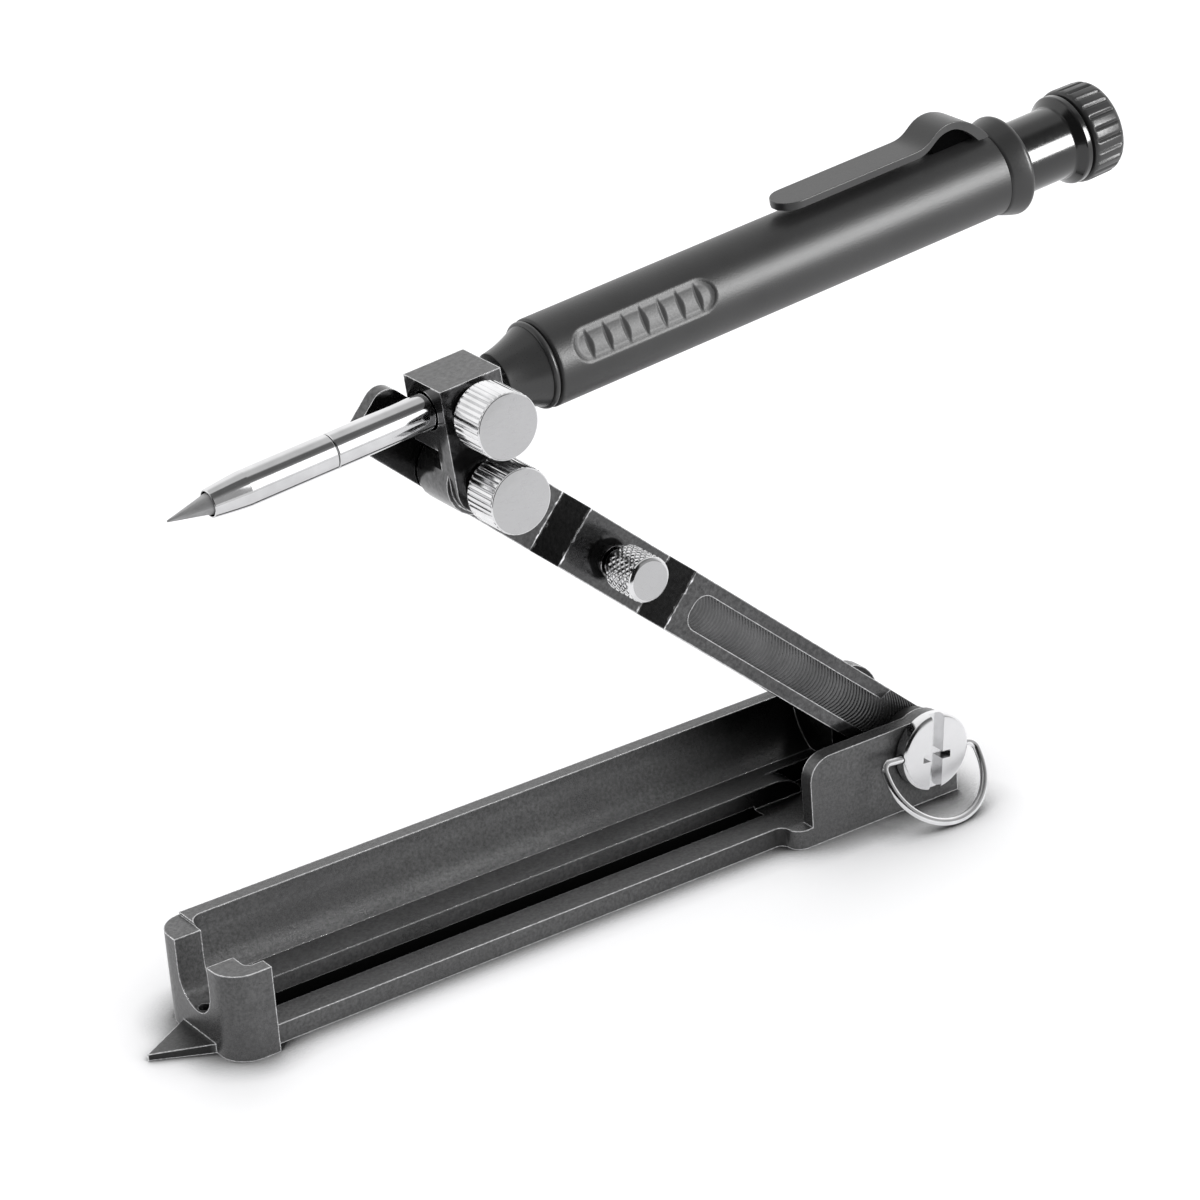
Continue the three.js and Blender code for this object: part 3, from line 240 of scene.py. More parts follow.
def coated_metal(name, base, rough, grain, grain_depth, waves=0.03, metal=0.5, folds=(), shade=None):
    """Black coat over a casting: fine grain, cloudy roughness, worn, brighter edges, and painted shade in
    corners and hollows.
    """
    n = Look(name)
    cloud = n.noise(14, detail=3)
    fine = n.noise(grain, detail=6, rough=0.7)
    specks = n.noise(0.12, detail=2)
    colour = n.mix(n.remap(cloud, 0.3, 0.7), grey(base * 0.85), grey(base * 1.2))
    edge = n.times(n.edges(WORN_EDGE), n.remap(fine, 0.35, 0.65, 0.45, 1.0))
    if folds:
        edge = n.larger(edge, n.lines_across(folds, FOLD_WIDTH))
    speckled = n.mix(n.remap(fine, 0.35, 0.65), grey(base * 0.55), colour)
    # Painted shade: the coat goes dark in corners and hollows, where little open sky is near.
    coat = n.mix(n.open_share(8, 0.1, 0.4), grey(base * 0.08), speckled)
    # Painted shade: the coat goes near black in the places that the shade function gives.
    if shade:
        coat = n.mix(shade(n), coat, grey(base * 0.03))
    cloudy = n.remap(cloud, 0.3, 0.7, rough - 0.04, rough + 0.05)
    uneven = n.plus(cloudy, n.remap(specks, 0.3, 0.7, -0.03, 0.03))
    return n.finished(
        Base_Color=n.mix(edge, coat, grey(0.95)),
        Metallic=n.remap(edge, 0.0, 1.0, metal, 1.0),
        Roughness=n.mix_values(edge, uneven, WORN_ROUGH),
        Specular_IOR_Level=0.5,
        Normal=n.bump(fine, 0.5, grain_depth, n.bump(n.noise(2.2, detail=3), 0.25, waves)),
    )


def painted_shade_black(name):
    """A dull, near-black surface: painted shade for a deep, narrow groove and for the hollow under the
    clip's arch.
    """
    n = Look(name)
    fine = n.noise(0.5, detail=5)
    return n.finished(
        Base_Color=n.mix(fine, grey(0.001), grey(0.004)),
        Roughness=0.9,
        Specular_IOR_Level=0.1,
        Normal=n.bump(fine, 0.4, 0.03),
    )


CUTTER_PITCH = 0.62
CUTTER_BOW = 190.0


def milled_metal(name, base, rough):
    """The pocket's floor: overlapping arcs left by a round cutter as it went along the arm."""
    n = Look(name)
    parts = n.axes()
    bow = n.times(n.times(parts["Z"], parts["Z"]), CUTTER_BOW)
    wobble = n.times(n.noise(3.5, detail=2), 0.3 * MM)
    along = n.plus(n.minus(parts["X"], bow), wobble)
    ripple = n.math("SINE", n.times(along, 2 * math.pi / (CUTTER_PITCH * MM)))
    fine = n.noise(0.25, detail=5, rough=0.7)
    height = n.plus(n.times(ripple, 0.5), n.times(fine, 0.9))
    cloud = n.noise(6, detail=3)
    tone = n.plus(n.times(ripple, 0.12), n.remap(cloud, 0.3, 0.7, 0.3, 0.8))
    return n.finished(
        Base_Color=n.mix(tone, grey(base * 0.6), grey(base * 1.5)),
        Metallic=0.9,
        Roughness=n.remap(fine, 0.3, 0.7, rough - 0.06, rough + 0.08),
        Normal=n.bump(height, 0.8, 0.07),
    )


def plated(name, base, rough, spread=0.05, streak=(1, 1, 1), bump=0.006, dark=0.75):
    """Bright plating with faint streaks and handling marks."""
    n = Look(name)
    lines = n.noise(0.35, detail=5, rough=0.65, at=n.place(scale=streak))
    cloud = n.noise(5, detail=3)
    streaky = n.remap(lines, 0.3, 0.7, rough - spread, rough + spread)
    return n.finished(
        Base_Color=n.mix(n.remap(cloud, 0.25, 0.75), grey(base * dark), grey(base)),
        Metallic=1.0,
        Roughness=n.plus(streaky, n.remap(cloud, 0.3, 0.7, -spread / 3, spread / 3)),
        Normal=n.bump(lines, 0.4, bump),
    )


def moulded(name, base, rough, grain, depth, shine=0.5, coat=0.0, worn=0.0):
    """Moulded plastic: spark-eroded grain, faint mottling, a little wear on the edges."""
    n = Look(name)
    fine = n.noise(grain, detail=6, rough=0.75)
    cells = n.grains(grain * 1.7)
    cloud = n.noise(9, detail=4)
    colour = n.mix(n.remap(cloud, 0.3, 0.7), grey(base * 0.85), grey(base * 1.2))
    if worn:
        edge = n.times(n.edges(0.2), n.remap(fine, 0.35, 0.65, 0.3, 1.0))
        colour = n.mix(edge, colour, grey(worn))
    height = n.plus(fine, n.times(cells, 0.6))
    return n.finished(
        Base_Color=colour,
        Roughness=n.remap(fine, 0.3, 0.7, rough - 0.05, rough + 0.06),
        Specular_IOR_Level=shine,
        Coat_Weight=coat,
        Coat_Roughness=0.05,
        Normal=n.bump(height, 0.5, depth),
    )


def graphite_lead(name):
    """Turned graphite: long fine lines with a grey sheen."""
    n = Look(name)
    lines = n.noise(0.5, detail=6, rough=0.7, at=n.place(scale=(0.15, 1, 1)))
    fine = n.noise(0.1, detail=3)
    return n.finished(
        Base_Color=n.mix(lines, grey(0.24), grey(0.56)),
        Metallic=0.5,
        Roughness=n.remap(fine, 0.3, 0.7, 0.38, 0.5),
        Normal=n.bump(n.plus(lines, fine), 0.5, 0.03),
    )


# A tone and a roughness each, and for the plastics the grain's size and depth in mm
MATERIALS = {
    "cast": coated_metal("cast_black_coat", 0.115, 0.30, grain=0.45, grain_depth=0.1, shade=tray_painted_shade),
    "arm": coated_metal("arm_black_coat", 0.115, 0.13, grain=0.5, grain_depth=0.02, waves=0.015,
                        metal=0.95, folds=ARM_FOLDS),
    "gloss": coated_metal("carriage_gloss_coat", 0.14, 0.18, grain=0.6, grain_depth=0.004,
                          waves=0.006, metal=0.9),
    "recess": painted_shade_black("groove_painted_shade"),
    "pocket": milled_metal("pocket_milled", 0.125, 0.3),
    "face": plated("knob_face_satin", 0.52, 0.24, streak=(0.3, 1, 1), dark=0.93),
    "head": plated("screw_head_satin", 0.80, 0.36, streak=(0.3, 1, 1), dark=0.93),
    "knurl": plated("knurl_plated", 0.80, 0.16, streak=(1, 0.2, 1)),
    "ring": plated("ring_polished", 0.9, 0.2),
    "chrome": plated("tube_polished", 0.72, 0.1, spread=0.02, streak=(0.08, 1, 1), bump=0.001),
    "dull": plated("slot_floor_dull", 0.35, 0.42, bump=0.02),
    "brass": plated("brass_turned", 0.55, 0.3, streak=(1, 0.1, 0.1)),
    "steel": plated("steel_plain", 0.42, 0.36, streak=(0.2, 1, 1)),
    "barrel": moulded("barrel_matt_plastic", 0.016, 0.40, 0.14, 0.025),
    "pad": moulded("grip_pad_plastic", 0.05, 0.46, 0.2, 0.03),
    "cone": moulded("cone_satin_plastic", 0.022, 0.30, 0.2, 0.006),
    "clip": moulded("clip_satin_plastic", 0.020, 0.33, 0.22, 0.01, worn=0.10),
    "button": moulded("button_gloss_plastic", 0.006, 0.17, 0.8, 0.002, coat=0.25),
    "cap": moulded("cap_satin_plastic", 0.016, 0.32, 0.25, 0.012, worn=0.08),
    "nylon": moulded("washer_nylon", 0.02, 0.5, 0.3, 0.02),
    "lead": graphite_lead("lead_graphite"),
}


# Mesh helpers
WELD_REACH = 0.002
FLAT_ANGLE = 0.6
NEARLY_STRAIGHT = 176


def finish_mesh(bm, name, at, sharp=35.0):
    """Turns a bmesh in millimetres into an object at a place, smooth but for its sharp edges."""
    bmesh.ops.recalc_face_normals(bm, faces=bm.faces)
    bm.normal_update()
    limit = math.radians(sharp)
    for face in bm.faces:
        face.smooth = True
    for edge in bm.edges:
        edge.smooth = not (len(edge.link_faces) == 2 and edge.calc_face_angle(0) > limit)
    bmesh.ops.scale(bm, vec=(MM, MM, MM), verts=bm.verts)
    mesh = bpy.data.meshes.new(name)
    bm.to_mesh(mesh)
    bm.free()
    piece = bpy.data.objects.new(name, mesh)
    bpy.context.scene.collection.objects.link(piece)
    piece.matrix_world = at
    return piece


def dress(piece, body, node, slot, *looks):
    """Gives a piece its materials, ties it to its body and hides its solid. slot is not used."""
    for look in looks:
        piece.data.materials.append(MATERIALS[look])
    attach(piece, body)
    if node:
        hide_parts(node)


def apply_modifiers(piece):
    """Puts what a piece's modifiers make of it into its own mesh."""
    graph = bpy.context.evaluated_depsgraph_get()
    mesh = bpy.data.meshes.new_from_object(piece.evaluated_get(graph))
    old = piece.data
    piece.modifiers.clear()
    piece.data = mesh
    bpy.data.meshes.remove(old)


def round_edges(piece, width, segments=3, angle=30.0):
    """Rounds a piece's edges, applied to its mesh."""
    bevel = piece.modifiers.new("edges", "BEVEL")
    bevel.width = width * MM
    bevel.segments = segments
    bevel.limit_method = "ANGLE"
    bevel.angle_limit = math.radians(angle)
    bevel.harden_normals = True
    bevel.miter_outer = "MITER_ARC"
    apply_modifiers(piece)


def in_millimetres(mesh):
    """A bmesh of a mesh in metres, in millimetres."""
    bm = bmesh.new()
    bm.from_mesh(mesh)
    bmesh.ops.scale(bm, vec=(1 / MM,) * 3, verts=bm.verts)
    return bm


def from_solid(node, at):
    """A copy of a solid's mesh in its own place, with its flat faces joined up again."""
    bm = in_millimetres(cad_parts[node].data)
    back = at.inverted()
    back.translation = back.translation / MM
    bmesh.ops.transform(bm, matrix=back, verts=bm.verts)
    bmesh.ops.remove_doubles(bm, verts=bm.verts, dist=WELD_REACH)
    bmesh.ops.dissolve_limit(bm, angle_limit=math.radians(FLAT_ANGLE), verts=bm.verts, edges=bm.edges)
    return bm


def rounded(profile, radius=0, steps=4):
    """The profile with its inner corners replaced by arcs.

    A row is a radius, a place along the axis and, if there is a third, the arc's own radius.
    """
    points = [Vector(point[:2]) for point in profile]
    radii = [point[2] if len(point) > 2 else radius for point in profile]
    out = [profile[0][:2]]
    for i in range(1, len(points) - 1):
        here = points[i]
        before = points[i - 1] - here
        after = points[i + 1] - here
        plain = before.length < 1e-9 or after.length < 1e-9 or radii[i] <= 0
        if plain or before.angle(after) > math.radians(NEARLY_STRAIGHT):
            out.append(tuple(here))
            continue
        reach = radii[i] / math.tan(before.angle(after) / 2)
        back = min(reach, before.length * 0.45, after.length * 0.45)
        start = here + before.normalized() * back
        end = here + after.normalized() * back
        for k in range(steps + 1):
            t = k / steps
            out.append(tuple(start * (1 - t) ** 2 + here * (2 * t * (1 - t)) + end * t ** 2))
    out.append(profile[-1][:2])
    return out


def spot(axis, place, radius, angle):
    """The point at a place along X or Y, at a radius and an angle about it."""
    across = radius * math.cos(angle)
    up = radius * math.sin(angle)
    return (place, across, up) if axis == "X" else (across, place, up)


def angles_round(sides):
    return [2 * math.pi * k / sides for k in range(sides)]


def ring_of(bm, axis, place, radii):
    """The vertices round an axis at one place along it, one for each radius."""
    angles = angles_round(len(radii))
    return [bm.verts.new(spot(axis, place, radius, angle)) for radius, angle in zip(radii, angles)]


def skin(bm, one, two):
    """Faces between two rings of vertices. A ring of one vertex is a tip on the axis."""
    sides = max(len(one), len(two))
    if sides == 1:
        return
    for k in range(sides):
        nxt = (k + 1) % sides
        if len(one) == 1:
            bm.faces.new((one[0], two[nxt], two[k]))
        elif len(two) == 1:
            bm.faces.new((one[k], one[nxt], two[0]))
        else:
            bm.faces.new((one[k], one[nxt], two[nxt], two[k]))


def loft(bm, rings):
    """Joins rings up into a body with flat ends."""
    for one, two in zip(rings, rings[1:]):
        skin(bm, one, two)
    bm.faces.new(rings[0])
    bm.faces.new(rings[-1])
    return bm


def lathe(profile, sides, axis="X"):
    """A turned surface about X or Y from (radius, place) points. Points on the axis close it."""
    bm = bmesh.new()
    rings = []
    for radius, place in profile:
        if radius < 1e-6:
            rings.append([bm.verts.new(spot(axis, place, 0, 0))])
        else:
            rings.append(ring_of(bm, axis, place, [radius] * sides))
    for one, two in zip(rings, rings[1:]):
        skin(bm, one, two)
    return bm


def turned(profile, name, sharp, sides=112, steps=4):
    """A round piece of the pencil."""
    return finish_mesh(lathe(rounded(profile, steps=steps), sides), name, AT_PENCIL, sharp)


def surface(radius_at, stations, sides, axis="X", inner=None):
    """A closed body about an axis whose radius varies round it too: radius_at(angle, place).

    stations are the places along the axis. inner is (front radius, rear radius) of its bore.
    """
    bm = bmesh.new()
    rings = []
    for place in stations:
        rings.append(ring_of(bm, axis, place, [radius_at(angle, place) for angle in angles_round(sides)]))
    if inner:
        rings.append(ring_of(bm, axis, stations[-1], [inner[1]] * sides))
        rings.append(ring_of(bm, axis, stations[0], [inner[0]] * sides))
        rings.append(rings[0])
    else:
        bm.faces.new(rings[0])
        bm.faces.new(rings[-1])
    for one, two in zip(rings, rings[1:]):
        skin(bm, one, two)
    return bm


def joined(*parts):
    """Several bmeshes in one, each a closed body of its own."""
    whole = bmesh.new()
    for part in parts:
        mesh = bpy.data.meshes.new("part")
        part.to_mesh(mesh)
        whole.from_mesh(mesh)
        bpy.data.meshes.remove(mesh)
        part.free()
    return whole


def paint_faces(piece, rule):
    """rule(centre in mm, normal) gives a face's material number."""
    for face in piece.data.polygons:
        face.material_index = rule(face.center / MM, face.normal)


def smoothstep(low, high, value):
    """0 below low and 1 above high, with a soft S between. low may be the larger."""
    t = max(0.0, min(1.0, (value - low) / (high - low)))
    return t * t * (3 - 2 * t)


# Base tray
LEDGE_HEIGHT = 2.8
STEP_EDGE = -1.15
GROOVE_EDGE = STEP_EDGE - 2.1
GROOVE_FRONT = -105.2
GROOVE_REAR = -18.0

tray = finish_mesh(from_solid("base_tray", AT_TRAY), "base_tray_cast", AT_TRAY)
round_edges(tray, 0.34)


def tray_paint(centre, normal):
    """The groove between the ledge and the step is painted near black as shade, the rest is coated."""
    across = GROOVE_EDGE - 0.02 < centre.y < STEP_EDGE + 1.2
    along = GROOVE_FRONT < centre.x < GROOVE_REAR
    below = centre.z < LEDGE_HEIGHT - 0.25
    underside = normal.z < -0.9 and centre.z < 0.1
    return 1 if across and along and below and not underside else 0


paint_faces(tray, tray_paint)
dress(tray, "base", "base_tray", "cast", "cast", "recess")

# Arm
POCKET_END = 46.2

arm = finish_mesh(from_solid("arm", AT_ARM), "arm_bar", AT_ARM, sharp=20)
round_edges(arm, 0.2, angle=20)


def arm_paint(centre, normal):
    """The pocket's floor is bare milled metal, the rest is coated."""
    floor = abs(centre.y - EYE_FACE) < 0.05 and normal.y < -0.9
    return 1 if floor and centre.x < POCKET_END else 0


paint_faces(arm, arm_paint)
dress(arm, "arm", "arm", "cast", "arm", "pocket")

# Carriage
carriage = finish_mesh(from_solid("carriage", AT_SWIVEL), "carriage_body", AT_SWIVEL)
round_edges(carriage, 0.42)
dress(carriage, "carriage", "carriage", "gloss_cast", "gloss")

# Knurled knobs
KNOB_TEETH = 38
KNOB_RADIUS = 4.375
KNOB_LENGTH = 5.8
KNOB_STAND_OFF = 2.4
KNOB_CHAMFER = 0.16
KNOB_NECK = 2.8
KNURL_DEPTH = 0.26
TOOTH_VALLEY = 0.24
DOME = 0.22
SCREW_RADIUS = 2.0
CLAMP_TIP = PENCIL_Y - 2.65


def knurled_knob(tip):
    """A straight-knurled head with a low domed face, its neck, and a shank that ends at tip."""
    r = KNOB_RADIUS
    back = CARRIAGE_FACE - KNOB_STAND_OFF
    face = back - KNOB_LENGTH
    rim = face + DOME
    # Each row is a place along the axis, the radius there, and the share of the knurl's depth
    rows = (
        (face, r * 0.15, 0),
        (face + 0.02, r * 0.38, 0),
        (face + 0.07, r * 0.63, 0),
        (face + 0.14, r * 0.8, 0),
        (rim, r - KNOB_CHAMFER - 0.06, 0),
        (rim + 0.06, r - KNOB_CHAMFER, 0),
        (rim + KNOB_CHAMFER * 0.5, r - KNOB_CHAMFER * 0.45, 0),
        (rim + KNOB_CHAMFER, r - 0.03, 0.25),
        (rim + KNOB_CHAMFER + 0.12, r, 1),
        (back - KNOB_CHAMFER - 0.12, r, 1),
        (back - KNOB_CHAMFER, r - 0.05, 0.6),
        (back - KNOB_CHAMFER * 0.4, r - KNOB_CHAMFER * 0.6, 0),
        (back, r - KNOB_CHAMFER, 0),
    )
    lookup = {place: (radius, share) for place, radius, share in rows}

    def radius_at(angle, place):
        radius, share = lookup[place]
        phase = (angle * KNOB_TEETH / (2 * math.pi)) % 1.0
        valley = max(0.0, 1 - abs(phase - 0.5) / TOOTH_VALLEY)
        return radius - KNURL_DEPTH * share * valley

    head = surface(radius_at, list(lookup), KNOB_TEETH * 8, axis="Y")
    stem = lathe(rounded([
        (0, back - 0.5), (KNOB_NECK, back - 0.5), (KNOB_NECK, CARRIAGE_FACE - 0.3),
        (SCREW_RADIUS, CARRIAGE_FACE - 0.3), (SCREW_RADIUS, tip), (0, tip),
    ], 0.15), 64, axis="Y")
    return joined(head, stem)


def face_paint(limit, radius):
    """A rule for a knob: its face before the limit is satin, and the screw's far end is steel."""
    def rule(centre, normal):
        if normal.y > 0.9 and centre.y > CARRIAGE_FACE:
            return 2
        on_face = normal.y < -0.95 and centre.y < limit
        return 1 if on_face and math.hypot(centre.x, centre.z) < radius else 0
    return rule


KNOB_RIM = CARRIAGE_FACE - KNOB_STAND_OFF - KNOB_LENGTH + DOME + 0.01
for node, body, at, tip in (
    ("pencil_clamp_knob", "clamp_knob", AT_CLAMP, CLAMP_TIP),
    ("carriage_lock_knob", "lock_knob", AT_SWIVEL, ARM_BACK),
):
    knob = finish_mesh(knurled_knob(tip), node + "_turned", at, sharp=28)
    paint_faces(knob, face_paint(KNOB_RIM, KNOB_RADIUS))
    dress(knob, body, node, "nickel", "knurl", "face", "steel")

# Small thumb screw with a diamond knurl
THUMB_RADIUS = 3.15
THUMB_LENGTH = 5.7
THUMB_BACK = PAD_FACE - 2.0
THUMB_FACE = THUMB_BACK - THUMB_LENGTH
DIAMONDS_ROUND = 20
DIAMOND_PITCH = 1.0
DIAMOND_DEPTH = 0.22
DIAMOND_STATIONS = 56


def thumb_screw():
    """A head with two crossing spirals of grooves, and its shank."""
    r = THUMB_RADIUS
    start = THUMB_FACE + 0.55
    end = THUMB_BACK - 0.35
    front = {THUMB_FACE: r - 0.5, THUMB_FACE + 0.05: r - 0.38, THUMB_FACE + 0.3: r - 0.12,
             THUMB_FACE + 0.5: r - 0.08}
    rear = {THUMB_BACK - 0.2: r - 0.12, THUMB_BACK: r - 0.4}
    smooth = {**front, **rear}
    knurled = [start + (end - start) * k / DIAMOND_STATIONS for k in range(DIAMOND_STATIONS + 1)]

    def radius_at(angle, place):
        if place in smooth:
            return smooth[place]
        turns = angle * DIAMONDS_ROUND / (2 * math.pi)
        rise = place / DIAMOND_PITCH
        one = abs(((turns + rise) % 1.0) - 0.5) * 2
        two = abs(((turns - rise) % 1.0) - 0.5) * 2
        groove = max(smoothstep(0.5, 1.0, one), smoothstep(0.5, 1.0, two))
        fade = min(1.0, (place - start) / 0.25 + 0.2, (end - place) / 0.25 + 0.2)
        return r - DIAMOND_DEPTH * groove * fade

    head = surface(radius_at, [*front, *knurled, *rear], DIAMONDS_ROUND * 12, axis="Y")
    stem = lathe(rounded([
        (0, THUMB_BACK - 0.4), (SCREW_RADIUS, THUMB_BACK - 0.4), (SCREW_RADIUS, PAD_FACE - 0.3),
        (SCREW_RADIUS, ARM_BACK), (0, ARM_BACK),
    ], 0.1), 48, axis="Y")
    return joined(head, stem)


pad_screw = finish_mesh(thumb_screw(), "pad_thumb_screw_turned", AT_PAD_SCREW, sharp=22)
paint_faces(pad_screw, face_paint(THUMB_FACE + 0.04, THUMB_RADIUS))
dress(pad_screw, "pad_screw", "pad_thumb_screw", "nickel", "knurl", "face", "steel")

# Hinge screw: domed edge, wide slot, narrow cross slot, and a socket for each end of the ring
HEAD_RADIUS = 5.5
HEAD_BACK = EAR_OUTER - 0.3
HEAD_FACE = HEAD_BACK - 2.0
SHANK_RADIUS = 2.5
SCREW_END = 8.0
SLOT_HALF = 1.0
SLOT_REACH = 7
SLOT_FLOOR = HEAD_FACE + 1.1
CROSS_HALF = 0.55
CROSS_REACH = 2.3
CROSS_DROP = 0.55
RING_AXIS_Y = HEAD_FACE + 0.85
RING_WIRE = 0.55
RING_HALF = 7.9
RING_REACH = 10.0
RING_BEND = 1.3
RING_LEG_DEPTH = 1.6
RING_SHIFT = 0.9
RING_TILT = 40
SOCKET_RADIUS = RING_WIRE + 0.12
SOCKET_END = HEAD_RADIUS - RING_LEG_DEPTH - RING_SHIFT - 0.3
SOCKET_MOUTH = HEAD_RADIUS + 1


def cut(piece, cutters):
    """Takes closed cutter meshes away from a piece."""
    for cutter in cutters:
        boolean = piece.modifiers.new("cut", "BOOLEAN")
        boolean.operation = "DIFFERENCE"
        boolean.object = cutter
        boolean.solver = "EXACT"
    bpy.context.view_layer.update()
    apply_modifiers(piece)
    for cutter in cutters:
        bpy.data.objects.remove(cutter)


def block(x_range, y_range, z_range):
    """A cutter in the shape of a box, in the hinge screw's own place."""
    bm = bmesh.new()
    corners = [bm.verts.new((x, y, z)) for x in x_range for y in y_range for z in z_range]
    for ids in ((0, 1, 3, 2), (4, 6, 7, 5), (0, 4, 5, 1), (2, 3, 7, 6), (0, 2, 6, 4), (1, 5, 7, 3)):
        bm.faces.new([corners[i] for i in ids])
    return finish_mesh(bm, "cutter", AT_HINGE)


def socket(side):
    """A cutter for the hole that takes one end of the ring."""
    ends = sorted((side * SOCKET_END, side * SOCKET_MOUTH))
    rod = lathe([(0, ends[0]), (SOCKET_RADIUS, ends[0]), (SOCKET_RADIUS, ends[1]), (0, ends[1])], 24)
    return finish_mesh(rod, "cutter", AT_HINGE @ shift(0, RING_AXIS_Y, 0))


blank = lathe(rounded([
    (0, HEAD_FACE), (HEAD_RADIUS - 0.35, HEAD_FACE, 0.5), (HEAD_RADIUS, HEAD_FACE + 0.35, 0.3),
    (HEAD_RADIUS, HEAD_BACK, 0.12), (SHANK_RADIUS, HEAD_BACK, 0.1), (SHANK_RADIUS, SCREW_END, 0.2),
    (0, SCREW_END),
], 0.2, 5), 128, axis="Y")
raw_screw = finish_mesh(blank, "hinge_screw_head", AT_HINGE)
wide_slot = block((-SLOT_HALF, SLOT_HALF), (HEAD_FACE - 1, SLOT_FLOOR), (-SLOT_REACH, SLOT_REACH))
cross_slot = block(
    (-CROSS_REACH, CROSS_REACH),
    (HEAD_FACE - 1, SLOT_FLOOR - 0.02),
    (-CROSS_DROP - CROSS_HALF, -CROSS_DROP + CROSS_HALF),
)
cut(raw_screw, [wide_slot, cross_slot, socket(-1), socket(1)])
welded = in_millimetres(raw_screw.data)
bmesh.ops.remove_doubles(welded, verts=welded.verts, dist=WELD_REACH)
bpy.data.objects.remove(raw_screw)
screw = finish_mesh(welded, "hinge_screw_head", AT_HINGE, sharp=30)
round_edges(screw, 0.07, 2, angle=50)


def screw_paint(centre, normal):
    """Plated edge, satin face, dull slots and a steel far end."""
    if centre.y > SCREW_END - 0.3:
        return 3
    if centre.y > SLOT_FLOOR - 0.1 or abs(centre.x) > 5:
        return 0
    in_slot = abs(centre.x) < SLOT_HALF - 0.02
    in_cross = abs(centre.x) < CROSS_REACH and abs(centre.z + CROSS_DROP) < CROSS_HALF - 0.02
    if in_slot or in_cross:
        return 2
    return 1 if normal.y < -0.9 else 0


paint_faces(screw, screw_paint)
dress(screw, "hinge_screw", "hinge_screw", "nickel", "knurl", "head", "dull", "steel")


# D-ring
def ring_path():
    """The wire's centre line: X along the legs, -Z down the bow."""
    half = []
    leg_start = HEAD_RADIUS - RING_LEG_DEPTH
    corner = RING_HALF - RING_BEND
    for k in range(4):
        half.append((leg_start + (corner - leg_start) * k / 4, 0.0))
    for k in range(9):
        turn = math.pi / 2 * k / 8
        half.append((corner + RING_BEND * math.sin(turn), -RING_BEND + RING_BEND * math.cos(turn)))
    straight = RING_REACH - RING_HALF
    for k in range(25):
        turn = math.pi / 2 * k / 24
        half.append((RING_HALF * math.cos(turn), -straight - RING_HALF * math.sin(turn)))
    right = [Vector((x, 0, z)) for x, z in half]
    left = [Vector((-p.x, 0, p.z)) for p in right[:-1]]
    return right + left[::-1]


def wire(path, radius, sides):
    """A round wire along a path in the XZ plane, with flat ends."""
    bm = bmesh.new()
    last = len(path) - 1
    rings = []
    for i, point in enumerate(path):
        forward = (path[min(i + 1, last)] - path[max(i - 1, 0)]).normalized()
        side = forward.cross(Vector((0, 1, 0))).normalized()
        lift = side.cross(forward).normalized()
        ring = []
        for angle in angles_round(sides):
            offset = side * (radius * math.cos(angle)) + lift * (radius * math.sin(angle))
            ring.append(bm.verts.new(point + offset))
        rings.append(ring)
    return loft(bm, rings)


tilt = Matrix.Rotation(math.radians(-RING_TILT), 4, "X")
at_ring = AT_HINGE @ shift(-RING_SHIFT, RING_AXIS_Y, 0) @ tilt
ring = finish_mesh(wire(ring_path(), RING_WIRE, 20), "d_ring_wire", at_ring)
dress(ring, "ring", "screw_d_ring", "bright", "ring")

# Spacer washer
WASHER_BORE = 2.8
WASHER_RADIUS = 4.5
WASHER_FRONT = -8.3
WASHER_BACK = -6.4

washer = lathe(rounded([
    (WASHER_BORE, WASHER_FRONT), (WASHER_RADIUS, WASHER_FRONT), (WASHER_RADIUS, WASHER_BACK),
    (WASHER_BORE, WASHER_BACK), (WASHER_BORE, WASHER_FRONT),
], 0.2), 64, axis="Y")
spacer = finish_mesh(washer, "hinge_washer", shift(0, 0, HINGE_HEIGHT))
dress(spacer, "base", "hinge_spacer", "nylon", "nylon")

# Lead, with nine faint facets at its point. Places on the pencil are counted along it, tip first
LEAD_RADIUS = 1.4
LEAD_TIP = -41.2
LEAD_POINT = 5.9
LEAD_END = 55.0
LEAD_FACETS = 9
FACET_TWIST = 0.35


def lead_radius(angle, place):
    share = (place - LEAD_TIP) / LEAD_POINT
    if share >= 1:
        return LEAD_RADIUS
    plain = LEAD_RADIUS * (0.09 + 0.91 * max(0.0, share))
    facet = 2 * math.pi / LEAD_FACETS
    from_middle = (angle + FACET_TWIST * share) % facet - facet / 2
    flat = math.cos(facet / 2) / math.cos(from_middle)
    keep = smoothstep(1.0, 0.75, share)
    return plain * (1 - keep * 0.5 * (1 - flat))


stations = [LEAD_TIP + LEAD_POINT * (k / 24) for k in range(25)] + [-35.0, LEAD_END]
lead = finish_mesh(surface(lead_radius, stations, 72), "lead_stick", AT_PENCIL, sharp=60)
dress(lead, "lead", "lead", "graphite", "lead")


# Metal nose: its tip, screwed into the tube at the joint line
TUBE_RADIUS = 2.35
TUBE_BORE = 2.02
TUBE_END = 26.0
TIP_FRONT = -35.5
TIP_RADIUS = 1.85
TIP_LENGTH = 5.0
MOUTH_RADIUS = 1.64
JOINT = -18.22
THREAD_RADIUS = 2.12
THREAD_END = -15.7
THREAD_ROOM = 0.12


def eased(share):
    """A rise that starts a little steeper than it ends."""
    return 0.7 * share + 0.3 * math.sin(share * math.pi / 2)


